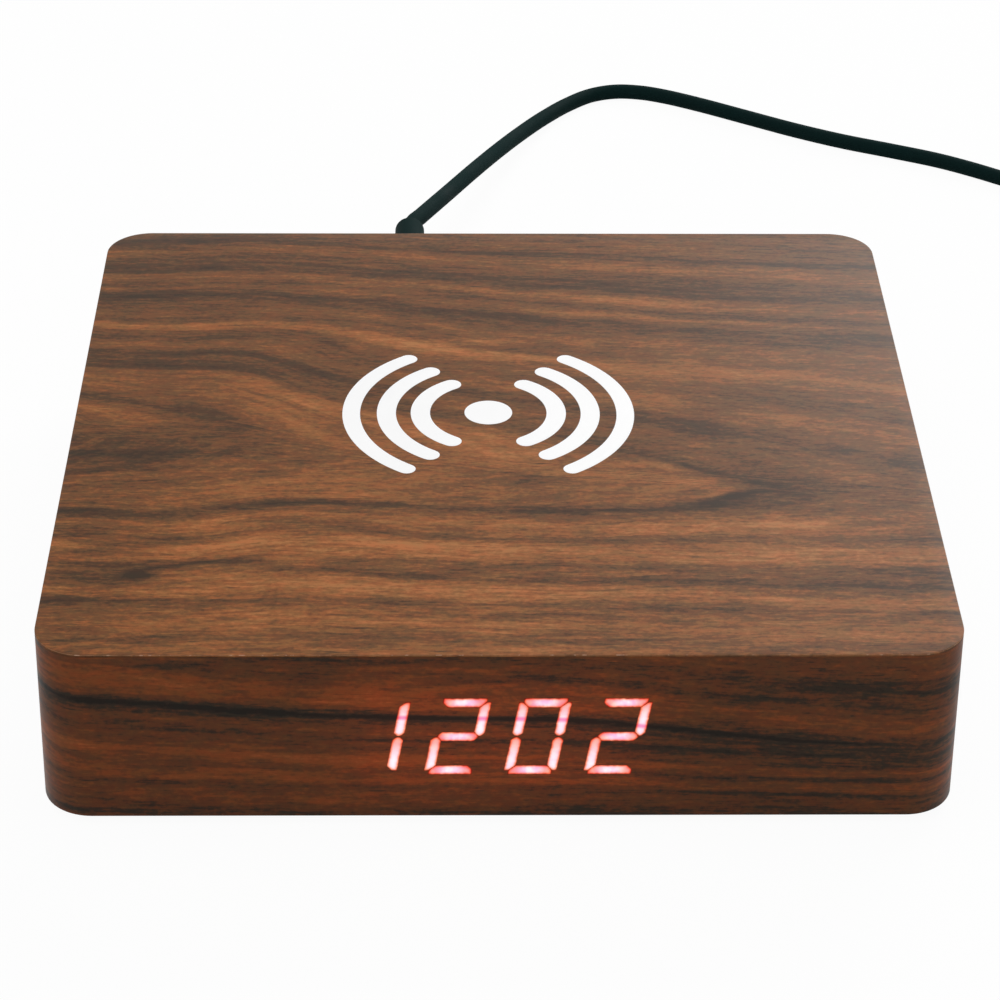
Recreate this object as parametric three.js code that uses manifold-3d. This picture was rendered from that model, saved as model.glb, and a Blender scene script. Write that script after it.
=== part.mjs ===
// A wireless charging alarm clock: a square wood-look case with a lit display in
// its front, a charging winding under its top, three push buttons and a socket in
// its back, and a supply lead that is tied up in a coil at its far end.
// Millimetres, +Z up. The origin is on the table under the middle of the case, and
// the display faces -Y.
import * as THREE from "three";
import { mergeVertices } from "three/addons/utils/BufferGeometryUtils.js";
import Module from "manifold-3d";

const wasm = await Module();
wasm.setup();

// Fits and facets
const overrun = 1; // how far a cutting tool reaches past the face that it opens
const glueLine = 0.05; // between glued, soldered or clamped faces
const looseFit = 0.3; // between pieces that are put together by hand
const mergeReach = 0.0001; // corners nearer than this are one corner
const quarterFacets = 4; // half the facets of a quarter round
const roundFacets = 8; // half the facets of a hole or a disc
const fineFacets = 14; // half the facets of a large disc
const screwSides = 8;
const turnedSides = 18;

// Case
const caseSide = 147;
const woodHeight = 31;
const footStand = 1.5;
const cornerRadius = 8.2;
const filmThickness = 0.4;
const wall = 7; // fibreboard sides
const roof = 4.6; // fibreboard over the electronics
const rebateLedge = 3; // step in the walls that the base cover closes
const cornerBlock = 20; // fibreboard left standing in each corner for a screw
const millRadius = 3;

// Display
const displayShift = -0.4; // of the display's middle from the case's middle, along X
const moduleSideRim = 2.1; // of the module past its outer digits
const moduleEdgeRim = 2.4; // of the module over and under its digits
const diffuserThickness = 0.3;
const digitCount = 4;
const digitPitch = 12.7;
const digitHeight = 14.2;
const digitWidth = 8;
const strokeWidth = 1.35;
const strokeGap = 0.5;
const middleGap = 0.7; // between an upper and a lower upright bar
const tipBlunt = 0.35;
const middleBlunt = 0.4;
const digitSlant = THREE.MathUtils.degToRad(10);
const wellBackShare = 0.9; // a light well is narrower at its light-emitting diodes
const colonRadius = 0.8;
const colonSpread = 6;
const diodeLength = 1.6;
const diodeWidth = 0.8;
const diodeHeight = 0.5;
const diodeSpread = 2; // between the two diodes of a segment
const boardThickness = 1.6;
const displayBoardEar = 5.85; // of the board past the module's ends
const displayBoardRim = 0.5; // of the board over and under the module
const displayScrewGap = 3.05; // from the module's ends to its screws' axes

// Charging winding, its shield and its board
const chargeShift = 3; // of the winding's middle towards the back
const pocketSide = 57;
const pocketCover = 2; // fibreboard left over the winding
const windingTurns = 9;
const windingInnerRadius = 10.8;
const windingPitch = 1.55;
const windingWire = 1.1;
const windingSteps = 16; // round one turn
const shieldSide = 53;
const shieldThickness = 2;
const shieldCorner = 1;
const chargerBoardLength = 46;
const chargerBoardMargin = 4.05; // from the board to the inside of the case's wall
const chargerBoardGap = 4.5; // from the winding's pocket to the board
const chargerScrewInset = 3.5;
const chargerChipSide = 7;
const chargerChipHeight = 1;
const chargerChokeSide = 8;
const chargerChokeHeight = 4;
const leadSlotWidth = 8;
const windingLeadRadius = 0.5;

// Control board, buttons and socket
const controlHeight = 17; // of the buttons' and the socket's axes over the table
const rearSkin = 3; // fibreboard left behind the buttons
const rearPocketHeight = 15;
const rearPocketMargin = 10; // of the milled pocket past the socket's and last button's axes
const boardStartGap = 9.05; // from a corner block to the control board's -X end
const boardEndGap = 2.05; // from the other block to its +X end
const boardDepth = 34;
const boardEdgeGap = 0.35; // from the board to the back wall
const boardDrop = 3.2; // from the axes down to the board's upper face
const boardScrewInset = 4;
const buttonRadius = 3.2;
const buttonHole = 3.5;
const buttonFlange = 4.4;
const flangeThickness = 0.9;
const buttonProud = 1;
const buttonCrown = 0.5;
const buttonTravel = 0.6;
const buttonPitch = 10;
const lastButtonInset = 10; // from the control board's +X end
const switchWidth = 6;
const switchDepth = 3.6;
const switchRise = 3; // of the switch's housing over its plunger's axis
const plungerRadius = 1.7;
const plungerBore = 1.9;
const plungerBoreDepth = 2;
const plungerReach = 1.2; // of the plunger into its housing
const socketShare = 7 / 17; // of the way from the control board's -X end to the first button
const socketWidth = 9;
const socketDepth = 11;
const socketHeight = 6.4;
const socketBore = 2;
const socketBack = 1.3;
const socketPinRadius = 0.6;
const socketPinSet = 1.2; // of the pin's tip behind the socket's mouth
const buzzerRadius = 6;
const buzzerHeight = 8.5;
const buzzerHole = 1;
const buzzerHoleDepth = 1.2;
const buzzerAcross = 2;
const clockChipLength = 10;
const clockChipWidth = 6;
const clockChipHeight = 1.5;
const clockChipShare = 0.728; // of the control board's length, from its -X end
const clockChipInset = 9; // from the board's front edge
const supplyWireRadius = 0.9;
const supplyWireInset = 2.5; // from the charger board's near edge
const supplyWireSet = 8.5; // from the control board's +X end
const wireSides = 6;
const wireSteps = 10;
const ribbonSteps = 3; // between two points of the ribbon's way
const ribbonWidth = 12;
const ribbonThickness = 0.7;
const ribbonAcross = 8;

// Base cover, battery and feet
const coverThickness = 2.5;
const coverScrewInset = 15.55; // of each screw's axis from the inside of the walls
const screwShank = 1.45;
const screwPilot = 1.65;
const screwHead = 2.8;
const screwHeadHeight = 1.6;
const screwLength = 11;
const screwTip = 1.8; // of every screw's point
const rimShare = 0.65; // of a head's height under its rim
const panCrownShare = 0.7; // of a pan head's radius at its top
const smallShank = 1;
const smallPilot = 1.15;
const smallClearance = 1.3;
const smallHead = 2;
const smallHeadHeight = 1.3;
const footInset = 13.5; // of each foot's axis from the case's sides
const footRadius = 5.5;
const footSoleRadius = 5;
const footSunk = 0.8;
const postRadius = 2.8;
const postScrewDepth = 6;
const soundHoleRadius = 0.9;
const soundHoleRing = 3.2;
const soundHoleCount = 6;
const wellAcross = -30; // the battery well's axis, along X and Y
const wellAlong = -12;
const cellRadius = 10;
const cellThickness = 3.2;
const doorRadius = 12;
const doorThickness = 2.2;
const lugReach = 1.4; // of the door's lugs past its rim
const lugLength = 5;
const lugThickness = 1.1;
const ledgeThickness = 1.2; // of the rim that the lugs ride on
const wellWall = 1.6;
const wellRoof = 1.2;
const wellHeight = 8.4; // of the well's inside, from the case's underside
const coinSlotLength = 15;
const coinSlotWidth = 1.8;
const coinSlotDepth = 0.8;
const doorTurn = Math.PI / 4; // of the door from locked to its notches, clockwise from above
const contactWidth = 4;
const contactThickness = 0.35;
const contactTail = 3; // of each contact's tail over the well's roof

// Supply lead
const cordRadius = 1.7;
const cordSides = 8;
const cordStep = 8.5;
const gripRadius = 3.8;
const gripLength = 24.5;
const gripNoseLength = 3.2; // of the grip inside the case's wall
const gripRound = 0.8;
const reliefLength = 11.8;
const reliefRadius = 3.05;
const reliefEndRadius = 2.95;
const reliefRound = 0.8;
const barrelRadius = 1.75;
const barrelBore = 0.85;
const barrelLength = 9.5;
const barrelRoot = 3; // of the barrel inside its grip
const coilAcross = 149.5; // the tied coil's axis
const coilAlong = 168.6;
const coilPitch = 3.95; // between turns that lie side by side, and between layers
const coilMidRadius = 20;
const coilEntry = THREE.MathUtils.degToRad(-128); // where the lead meets the coil
const coilExit = 0;
const coilTurns = 7; // whole turns from the entry, before the last part of one
const coilTail = 18; // straight, from the coil to the far plug
const coilSteps = 24; // round one turn
const coilSides = 6;
const tailSteps = 6;
const tieAngle = THREE.MathUtils.degToRad(96);
const tieWidth = 5;
const tieThickness = 0.6;
const farReliefLength = 10;
const farReliefRadius = 2.9;
const farReliefEndRadius = 2.4;
const farGripLength = 24;
const farGripWidth = 16;
const farGripHeight = 8;
const farGripRound = 2.4;
const shellWidth = 12;
const shellHeight = 4.5;
const shellLength = 14;
const shellSheet = 0.35;
const shellRoot = 3; // of the metal shell inside its grip
const shellCorner = 0.6;
const latchHoleSide = 2.2;
const latchHoleSpread = 5;
const latchHoleSet = 5; // from the shell's mouth
const tongueThickness = 1.9;
const tongueSet = 1; // of the tongue's end behind the shell's mouth

// The lead's way over the table, from its plug to its coil
const leadRoute = [
  [-16, 107.1, 17],
  [-15.3, 110.2, 16.7],
  [-14, 114, 16],
  [-11.8, 121, 14.7],
  [-8.2, 132.6, 12.5],
  [-3, 149.1, 9.5],
  [2.4, 165.5, 6.5],
  [8.1, 180.4, 4.1],
  [13.8, 192.6, 2.5],
  [19.6, 201.4, 1.9],
  [25.4, 207.1, 1.75],
  [31.1, 209.2, 1.75],
  [36.8, 208.7, 1.75],
  [42.2, 206.6, 1.75],
  [50.3, 201.9, 1.75],
  [60.9, 194.8, 1.75],
  [71.4, 187.8, 1.75],
  [81.8, 181.8, 1.75],
  [92.1, 176.9, 1.75],
  [102, 171.9, 1.75],
  [109.4, 167, 1.75],
  [114.9, 162.8, 1.75],
  [121, 157.9, 1.9],
];

// Materials
const finish = (color, roughness, metalness = 0) =>
  new THREE.MeshStandardMaterial({ color, roughness, metalness });
const materials = {
  fibreboard: finish("#9a7448", 0.9),
  woodFilm: finish("#7a4a2c", 0.45),
  blackPlastic: finish("#1b1c1d", 0.5),
  greyPlastic: finish("#8d9092", 0.5),
  whitePlastic: finish("#e6e5e0", 0.5),
  milkyPlastic: finish("#efeae4", 0.6),
  greenBoard: finish("#1f5a38", 0.5),
  rubber: finish("#202122", 0.9),
  cordBlack: finish("#15201f", 0.55),
  steel: finish("#b9bcc0", 0.3, 1),
  nickel: finish("#c9c5b8", 0.25, 1),
  copper: finish("#a85a2f", 0.4, 1),
  ferrite: finish("#35363a", 0.7),
  wire: finish("#7d1d18", 0.5),
};

// Solids from three.js geometry, and back

function solidOf(geometry) {
  const bare = geometry.index ? geometry.toNonIndexed() : geometry.clone();
  bare.deleteAttribute("normal");
  bare.deleteAttribute("uv");
  const merged = mergeVertices(bare, mergeReach);
  const corners = merged.index.array;
  const kept = [];
  for (let i = 0; i < corners.length; i += 3) {
    const [a, b, c] = corners.slice(i, i + 3);
    if (a !== b && b !== c && c !== a) kept.push(a, b, c);
  }
  const mesh = new wasm.Mesh({
    numProp: 3,
    vertProperties: merged.attributes.position.array,
    triVerts: new Uint32Array(kept),
  });
  return new wasm.Manifold(mesh);
}

function geometryOf(solid) {
  const mesh = solid.getMesh();
  const geometry = new THREE.BufferGeometry();
  geometry.setAttribute("position", new THREE.BufferAttribute(mesh.vertProperties, 3));
  geometry.setIndex(new THREE.BufferAttribute(mesh.triVerts, 1));
  const flat = geometry.toNonIndexed();
  flat.computeVertexNormals();
  return flat;
}

function cut(body, tools) {
  const start = solidOf(body);
  return geometryOf(tools.reduce((left, tool) => left.subtract(solidOf(tool)), start));
}

function join(pieces) {
  const [first, ...others] = pieces.map(solidOf);
  return geometryOf(others.reduce((whole, piece) => whole.add(piece), first));
}

// Shapes

function rectangle(width, depth, radius = 0) {
  const x = width / 2;
  const y = depth / 2;
  const shape = new THREE.Shape();
  if (!radius) {
    shape.moveTo(-x, -y).lineTo(x, -y).lineTo(x, y).lineTo(-x, y);
    return shape;
  }
  const quarter = Math.PI / 2;
  shape.absarc(x - radius, y - radius, radius, 0, quarter);
  shape.absarc(radius - x, y - radius, radius, quarter, 2 * quarter);
  shape.absarc(radius - x, radius - y, radius, 2 * quarter, 3 * quarter);
  shape.absarc(x - radius, radius - y, radius, 3 * quarter, 4 * quarter);
  return shape;
}

function circle(radius) {
  return new THREE.Shape().absarc(0, 0, radius, 0, 2 * Math.PI);
}

// A prism that stands on z = bottom, over an outline in X and Y.
function standing(shape, bottom, top, facets = quarterFacets) {
  const depth = top - bottom;
  const options = { depth, bevelEnabled: false, curveSegments: facets };
  return new THREE.ExtrudeGeometry(shape, options).translate(0, 0, bottom);
}

// A prism from y = near back to y = far, over an outline in X and Z.
function lying(shape, near, far, facets = quarterFacets) {
  return standing(shape, -far, -near, facets).rotateX(Math.PI / 2);
}

const standingDisc = (radius, bottom, top, facets = roundFacets) =>
  standing(circle(radius), bottom, top, facets);

const lyingDisc = (radius, near, far, facets = roundFacets) =>
  lying(circle(radius), near, far, facets);

// A turned piece: [radius, height] points that start and end on the axis, outside going up.
function turned(profile, sides = turnedSides) {
  const points = profile.map(([radius, height]) => new THREE.Vector2(radius, height));
  return new THREE.LatheGeometry(points, sides);
}

const turnedUpright = (profile, sides) => turned(profile, sides).rotateX(Math.PI / 2);

// A section swept along a curve, with its two ends closed.
function swept(section, curve, steps) {
  return new THREE.ExtrudeGeometry(section, { extrudePath: curve, steps });
}

function regularPolygon(radius, sides) {
  const corner = (i) => {
    const angle = ((i + 1 / 2) * 2 * Math.PI) / sides;
    return new THREE.Vector2(radius * Math.cos(angle), radius * Math.sin(angle));
  };
  return new THREE.Shape(Array.from({ length: sides }, (_, i) => corner(i)));
}

const vector = (point) => new THREE.Vector3(...point);

const curveThrough = (points) =>
  new THREE.CatmullRomCurve3(points.map(vector), false, "centripetal");

const mirroredPairs = (x, y) => [
  [-x, -y],
  [x, -y],
  [x, y],
  [-x, y],
];

// A screw that stands on its point: z = 0 is the underside of a pan head, or where the
// cone of a countersunk head starts.
function screw(headRadius, headHeight, shankRadius, length, countersunk = false) {
  const shoulder = countersunk ? shankRadius : headRadius;
  const crown = countersunk ? headRadius : headRadius * panCrownShare;
  const profile = [
    [0, -length],
    [shankRadius, screwTip - length],
    [shankRadius, 0],
    [shoulder, 0],
    [headRadius, headHeight * rimShare],
    [crown, headHeight],
    [0, headHeight],
  ];
  return turnedUpright(profile, screwSides);
}

// The scene graph

const clock = new THREE.Group();

function place(group, name, geometry, material, [x, y, z] = [0, 0, 0]) {
  const mesh = new THREE.Mesh(geometryOf(solidOf(geometry)), material);
  mesh.name = name;
  mesh.position.set(x, y, z);
  group.add(mesh);
  return mesh;
}

function groupAt(parent, x, y, z) {
  const group = new THREE.Group();
  group.position.set(x, y, z);
  parent.add(group);
  return group;
}

// Levels and faces of the case

const shellHalf = caseSide / 2 - filmThickness - glueLine;
const innerHalf = shellHalf - wall;
const shellRadius = cornerRadius - filmThickness - glueLine;
const caseTop = footStand + woodHeight;
const shellTop = caseTop - filmThickness - glueLine;
const roofLevel = shellTop - roof;
const pocketLevel = shellTop - pocketCover;
const coverTop = footStand + coverThickness;
const coverHalf = innerHalf + rebateLedge - looseFit;
const blockFace = innerHalf - cornerBlock; // of the corner blocks, from the middle
const displayHeight = footStand + woodHeight / 2;
const moduleWidth = (digitCount - 1) * digitPitch + digitWidth + 2 * moduleSideRim;
const moduleHeight = digitHeight + 2 * moduleEdgeRim;
const displayBoardWidth = moduleWidth + 2 * displayBoardEar;
const displayBoardHeight = moduleHeight + 2 * displayBoardRim;
const displayScrewSpread = moduleWidth + 2 * displayScrewGap;
const rearPocketFace = shellHalf - rearSkin;
const windowWidth = moduleWidth + 2 * looseFit;
const windowHeight = moduleHeight + 2 * looseFit;
const boardTop = controlHeight - boardDrop;
const boardStart = boardStartGap - blockFace;
const boardEnd = blockFace - boardEndGap;
const boardBack = innerHalf - boardEdgeGap;
const boardFront = boardBack - boardDepth;
const boardMiddle = (boardFront + boardBack) / 2;
const chargerBoardStart = pocketSide / 2 + chargerBoardGap;
const chargerBoardWidth = innerHalf - chargerBoardMargin - chargerBoardStart;
const chargerBoardAcross = chargerBoardStart + chargerBoardWidth / 2;
const chargerBoardTop = roofLevel - looseFit;
const chargerBoardBottom = chargerBoardTop - boardThickness;
const gripHole = gripRadius + 2 * looseFit;
const buttonSpots = [2, 1, 0].map((i) => boardEnd - lastButtonInset - i * buttonPitch);
const socketAcross = THREE.MathUtils.lerp(boardStart, buttonSpots[0], socketShare);
const rearPocketStart = socketAcross - rearPocketMargin;
const rearPocketEnd = buttonSpots.at(-1) + rearPocketMargin;
const coverScrewSpot = innerHalf - coverScrewInset;
const footSpot = caseSide / 2 - footInset;

// Places of the screws, each group seen from the case's middle

const boardScrewSpots = [boardStart + boardScrewInset, boardEnd - boardScrewInset].flatMap((x) => [
  [x, boardFront + boardScrewInset],
  [x, boardBack - 2 * boardScrewInset],
]);
const chargerScrewSpots = [-1, 1].map((side) => [
  chargerBoardAcross + side * (chargerBoardWidth / 2 - chargerScrewInset),
  chargeShift + side * (chargerBoardLength / 2 - chargerScrewInset),
]);

// The case: a milled fibreboard shell under wood-look film

function cavityOutline() {
  const far = innerHalf;
  const near = blockFace;
  const corners = [
    [far, -near],
    [far, near],
    [near, near],
    [near, far],
    [-near, far],
    [-near, near],
    [-far, near],
    [-far, -near],
    [-near, -near],
    [-near, -far],
    [near, -far],
    [near, -near],
  ];
  return roundedOutline(corners, millRadius);
}

// A closed outline through corners, each turned into a curve that starts a radius away.
function roundedOutline(corners, radius) {
  const shape = new THREE.Shape();
  corners.forEach((corner, i) => {
    const at = new THREE.Vector2(...corner);
    const before = new THREE.Vector2(...corners.at(i - 1));
    const after = new THREE.Vector2(...corners[(i + 1) % corners.length]);
    const enter = before.sub(at).setLength(radius).add(at);
    const leave = after.sub(at).setLength(radius).add(at);
    if (i) shape.lineTo(enter.x, enter.y);
    else shape.moveTo(enter.x, enter.y);
    shape.quadraticCurveTo(at.x, at.y, leave.x, leave.y);
  });
  return shape;
}

function rearHoles(near, far) {
  const buttons = buttonSpots.map((x) =>
    lyingDisc(buttonHole, near, far).translate(x, 0, controlHeight),
  );
  return [...buttons, lyingDisc(gripHole, near, far).translate(socketAcross, 0, controlHeight)];
}

function woodShell() {
  const outline = rectangle(2 * shellHalf, 2 * shellHalf, shellRadius);
  const body = standing(outline, footStand, shellTop);
  const cavity = standing(cavityOutline(), footStand - overrun, roofLevel);
  const rebateSide = 2 * (innerHalf + rebateLedge);
  const rebateRadius = shellRadius - wall + rebateLedge;
  const rebate = standing(
    rectangle(rebateSide, rebateSide, rebateRadius),
    footStand - overrun,
    coverTop,
  );
  const pocket = standing(
    rectangle(pocketSide, pocketSide, millRadius),
    roofLevel - overrun,
    pocketLevel,
  );
  pocket.translate(0, chargeShift, 0);
  const slotLength = 2 * (chargerBoardAcross - pocketSide / 2);
  const leadSlot = standing(
    rectangle(slotLength, leadSlotWidth, millRadius),
    roofLevel - overrun,
    pocketLevel,
  );
  leadSlot.translate(pocketSide / 2, chargeShift, 0);
  const window = lying(
    rectangle(windowWidth, windowHeight),
    -shellHalf - overrun,
    -innerHalf + overrun,
  );
  window.translate(displayShift, 0, displayHeight);
  const rearPocket = lying(
    rectangle(rearPocketEnd - rearPocketStart, rearPocketHeight, millRadius),
    innerHalf - overrun,
    rearPocketFace,
  );
  rearPocket.translate((rearPocketStart + rearPocketEnd) / 2, 0, controlHeight);
  const coverPilots = mirroredPairs(coverScrewSpot, coverScrewSpot).map(([x, y]) =>
    standingDisc(screwPilot, coverTop - overrun, coverTop + screwLength, quarterFacets)
      .translate(x, y, 0),
  );
  const displayPilots = [-1, 1].map((side) =>
    lyingDisc(smallPilot, rearSkin - shellHalf, overrun - innerHalf, quarterFacets)
      .translate(displayShift + (side * displayScrewSpread) / 2, 0, displayHeight),
  );
  const chargerPilots = chargerScrewSpots.map(([x, y]) =>
    standingDisc(smallPilot, roofLevel - overrun, pocketLevel, quarterFacets).translate(x, y, 0),
  );
  return cut(body, [
    cavity,
    rebate,
    pocket,
    leadSlot,
    window,
    rearPocket,
    ...coverPilots,
    ...displayPilots,
    ...chargerPilots,
    ...rearHoles(rearPocketFace - overrun, shellHalf + overrun),
  ]);
}

function sideFilm() {
  const outline = rectangle(caseSide, caseSide, cornerRadius);
  const innerSide = caseSide - 2 * filmThickness;
  outline.holes.push(rectangle(innerSide, innerSide, cornerRadius - filmThickness));
  const band = standing(outline, footStand, shellTop);
  return cut(band, rearHoles(shellHalf - overrun, caseSide / 2 + overrun));
}

function topFilm() {
  return standing(rectangle(caseSide, caseSide, cornerRadius), caseTop - filmThickness, caseTop);
}

place(clock, "wood_shell", woodShell(), materials.fibreboard);
place(clock, "side_film", sideFilm(), materials.woodFilm);
place(clock, "top_film", topFilm(), materials.woodFilm);

// The display: light wells in the shape of slanted seven-segment digits

const halfStroke = strokeWidth / 2;
const cornerSetback = strokeGap / Math.SQRT2; // from a digit's corner to a bar's mitred tip

// An end of a bar along +X, from its inner side to its outer side, which is longer where mitred.
function mitredEnd(tip) {
  const end = tip - tipBlunt;
  return [[tip - strokeWidth, -halfStroke], [end, halfStroke - tipBlunt], [end, halfStroke]];
}

function pointedEnd(tip) {
  return [[tip - halfStroke, -halfStroke], [tip, 0], [tip - halfStroke, halfStroke]];
}

function bluntEnd(tip) {
  const side = halfStroke - middleBlunt;
  const start = tip - middleBlunt;
  return [[start, -halfStroke], [tip, -side], [tip, side], [start, halfStroke]];
}

function segmentOutline(first, second) {
  const points = [...second, ...first.map(([x, y]) => [-x, y]).reverse()];
  return new THREE.Shape(points.map(([x, y]) => new THREE.Vector2(x, y)));
}

// One digit's bars: their middles about the digit's middle, their outlines, and the turn that
// brings a bar's outer side, drawn upwards, to the outside of the digit.
function segmentFrames() {
  const across = digitWidth / 2 - halfStroke;
  const over = digitHeight / 2 - halfStroke;
  const level = mitredEnd(digitWidth / 2 - cornerSetback);
  const point = pointedEnd(across - cornerSetback);
  const low = middleGap / 2;
  const high = digitHeight / 2 - cornerSetback;
  const corner = mitredEnd((high - low) / 2);
  const middle = bluntEnd((high - low) / 2);
  const y = (low + high) / 2;
  const turn = Math.PI / 2;
  return [
    { x: 0, y: over, turn: 0, outline: segmentOutline(level, level) },
    { x: 0, y: 0, turn: 0, outline: segmentOutline(point, point) },
    { x: 0, y: -over, turn: 2 * turn, outline: segmentOutline(level, level) },
    { x: -across, y, turn: -turn, outline: segmentOutline(middle, corner) },
    { x: across, y, turn, outline: segmentOutline(corner, middle) },
    { x: -across, y: -y, turn: -turn, outline: segmentOutline(corner, middle) },
    { x: across, y: -y, turn, outline: segmentOutline(middle, corner) },
  ];
}

// Draws the far end of a prism along Y in towards its axis.
function narrowedBack(geometry, near, far, share) {
  const position = geometry.attributes.position;
  for (let i = 0; i < position.count; i += 1) {
    const along = (position.getY(i) - near) / (far - near);
    const scale = THREE.MathUtils.lerp(1, share, along);
    position.setX(i, position.getX(i) * scale);
    position.setZ(i, position.getZ(i) * scale);
  }
  return geometry;
}

// Turns a piece drawn on a level segment to its place in a slanted digit.
function setOnSegment(geometry, frame, digitX) {
  geometry.rotateY(frame.turn).translate(frame.x, 0, frame.y);
  const slant = new THREE.Matrix4().makeShear(0, 0, 0, 0, Math.tan(digitSlant), 0);
  return geometry.applyMatrix4(slant).translate(digitX, 0, 0);
}

const digitMiddles = Array.from(
  { length: digitCount },
  (_, i) => (i - (digitCount - 1) / 2) * digitPitch,
);
const colonDots = [-1, 1].map((side) => (side * colonSpread) / 2);
const reflectorFront = diffuserThickness + 2 * glueLine;
const reflectorBack = wall - glueLine;
const displayBoardFront = wall + glueLine;
const displayBoardBack = displayBoardFront + boardThickness;

function lightWell(outline) {
  const near = reflectorFront - overrun;
  const far = reflectorBack + overrun;
  return narrowedBack(lying(outline, near, far), near, far, wellBackShare);
}

function onEverySegment(make) {
  return digitMiddles.flatMap((digitX) =>
    segmentFrames().flatMap((frame) => make(frame).map((g) => setOnSegment(g, frame, digitX))),
  );
}

function digitReflector() {
  const block = lying(rectangle(moduleWidth, moduleHeight), reflectorFront, reflectorBack);
  const wells = onEverySegment((frame) => [lightWell(frame.outline)]);
  const dots = colonDots.map((z) =>
    lyingDisc(colonRadius, reflectorFront - overrun, reflectorBack + overrun, quarterFacets)
      .translate(z * Math.tan(digitSlant), 0, z),
  );
  return cut(block, [...wells, ...dots]);
}

function diode(length) {
  const sunk = displayBoardFront + glueLine;
  return lying(rectangle(length, diodeWidth), displayBoardFront - diodeHeight, sunk);
}

function displayBoard() {
  const board = lying(
    rectangle(displayBoardWidth, displayBoardHeight),
    displayBoardFront,
    displayBoardBack,
  );
  const diodes = onEverySegment(() =>
    [-1, 1].map((side) => diode(diodeLength).translate((side * diodeSpread) / 2, 0, 0)),
  );
  const colonDiodes = colonDots.map((z) =>
    diode(diodeWidth).translate(z * Math.tan(digitSlant), 0, z),
  );
  const holes = [-1, 1].map((side) =>
    lyingDisc(smallClearance, displayBoardFront - overrun, displayBoardBack + overrun, quarterFacets)
      .translate((side * displayScrewSpread) / 2, 0, 0),
  );
  return cut(join([board, ...diodes, ...colonDiodes]), holes);
}

const display = groupAt(clock, displayShift, -shellHalf, displayHeight);
place(
  display,
  "light_diffuser",
  lying(rectangle(moduleWidth, moduleHeight), glueLine, glueLine + diffuserThickness),
  materials.milkyPlastic,
);
place(display, "digit_reflector", digitReflector(), materials.whitePlastic);
place(display, "display_board", displayBoard(), materials.greenBoard);
[-1, 1].forEach((side, i) => {
  const length = displayBoardBack - rearSkin - glueLine;
  const piece = screw(smallHead, smallHeadHeight, smallShank, length).rotateX(-Math.PI / 2);
  place(display, `display_screw_${i + 1}`, piece, materials.steel, [
    (side * displayScrewSpread) / 2,
    displayBoardBack + glueLine,
    0,
  ]);
});

// The charging side: winding, shield, board and leads, under the case's top

const windingRise = windingWire / 2 + glueLine;
const windingLevel = pocketLevel - windingRise;
const shieldTop = windingLevel - windingRise;
const windingOuterRadius = windingInnerRadius + windingTurns * windingPitch;

// A flat spiral that starts inside and ends outside, both on its +X side.
class FlatSpiral extends THREE.Curve {
  getPoint(t, target = new THREE.Vector3()) {
    const angle = 2 * Math.PI * windingTurns * t;
    const radius = windingInnerRadius + windingPitch * windingTurns * t;
    return target.set(radius * Math.cos(angle), radius * Math.sin(angle), 0);
  }
}

function chargingWinding() {
  const spiral = new FlatSpiral();
  const steps = windingTurns * windingSteps;
  const points = Array.from({ length: steps + 1 }, (_, i) => spiral.getPoint(i / steps));
  const sides = points.map((_, i) => radialSide(points, i));
  return ribbonAlong(points, sides, windingWire / 2, windingWire / 2);
}

// The level direction square to the way of a line of points, pointing to its right.
function radialSide(points, i) {
  const before = points[Math.max(i - 1, 0)];
  const after = points[Math.min(i + 1, points.length - 1)];
  const way = after.clone().sub(before).normalize();
  return new THREE.Vector3(way.y, -way.x, 0).normalize();
}

// A four-sided tube, as one closed mesh, with half a width along each side and half a height.
function ribbonAlong(points, sides, halfWidth, halfHeight) {
  const corners = [];
  points.forEach((point, i) => {
    [
      [1, 1],
      [-1, 1],
      [-1, -1],
      [1, -1],
    ].forEach(([across, up]) => {
      const corner = point.clone().addScaledVector(sides[i], across * halfWidth);
      corners.push(corner.add(new THREE.Vector3(0, 0, up * halfHeight)));
    });
  });
  return tubeThroughRings(corners, 4);
}

// Joins rings of corners into one closed tube, each ring turning left-handed along the tube.
function tubeThroughRings(corners, sides) {
  const rings = corners.length / sides;
  const index = [];
  for (let ring = 0; ring + 1 < rings; ring += 1) {
    for (let side = 0; side < sides; side += 1) {
      const a = ring * sides + side;
      const b = ring * sides + ((side + 1) % sides);
      index.push(a, a + sides, b, b, a + sides, b + sides);
    }
  }
  const last = (rings - 1) * sides;
  for (let side = 1; side + 1 < sides; side += 1) {
    index.push(0, side, side + 1);
    index.push(last, last + side + 1, last + side);
  }
  const geometry = new THREE.BufferGeometry().setFromPoints(corners);
  geometry.setIndex(index);
  return geometry;
}

function chargerBoard() {
  const board = standing(
    rectangle(chargerBoardWidth, chargerBoardLength),
    chargerBoardBottom,
    chargerBoardTop,
  ).translate(chargerBoardAcross, 0, 0);
  const holes = chargerScrewSpots.map(([x, y]) =>
    standingDisc(smallClearance, chargerBoardBottom - overrun, chargerBoardTop + overrun, quarterFacets)
      .translate(x, y - chargeShift, 0),
  );
  return cut(board, holes);
}

// A square component that hangs under the charger board.
function underBoard(side, height) {
  const top = chargerBoardBottom - glueLine;
  return standing(rectangle(side, side), top - height, top);
}

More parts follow.
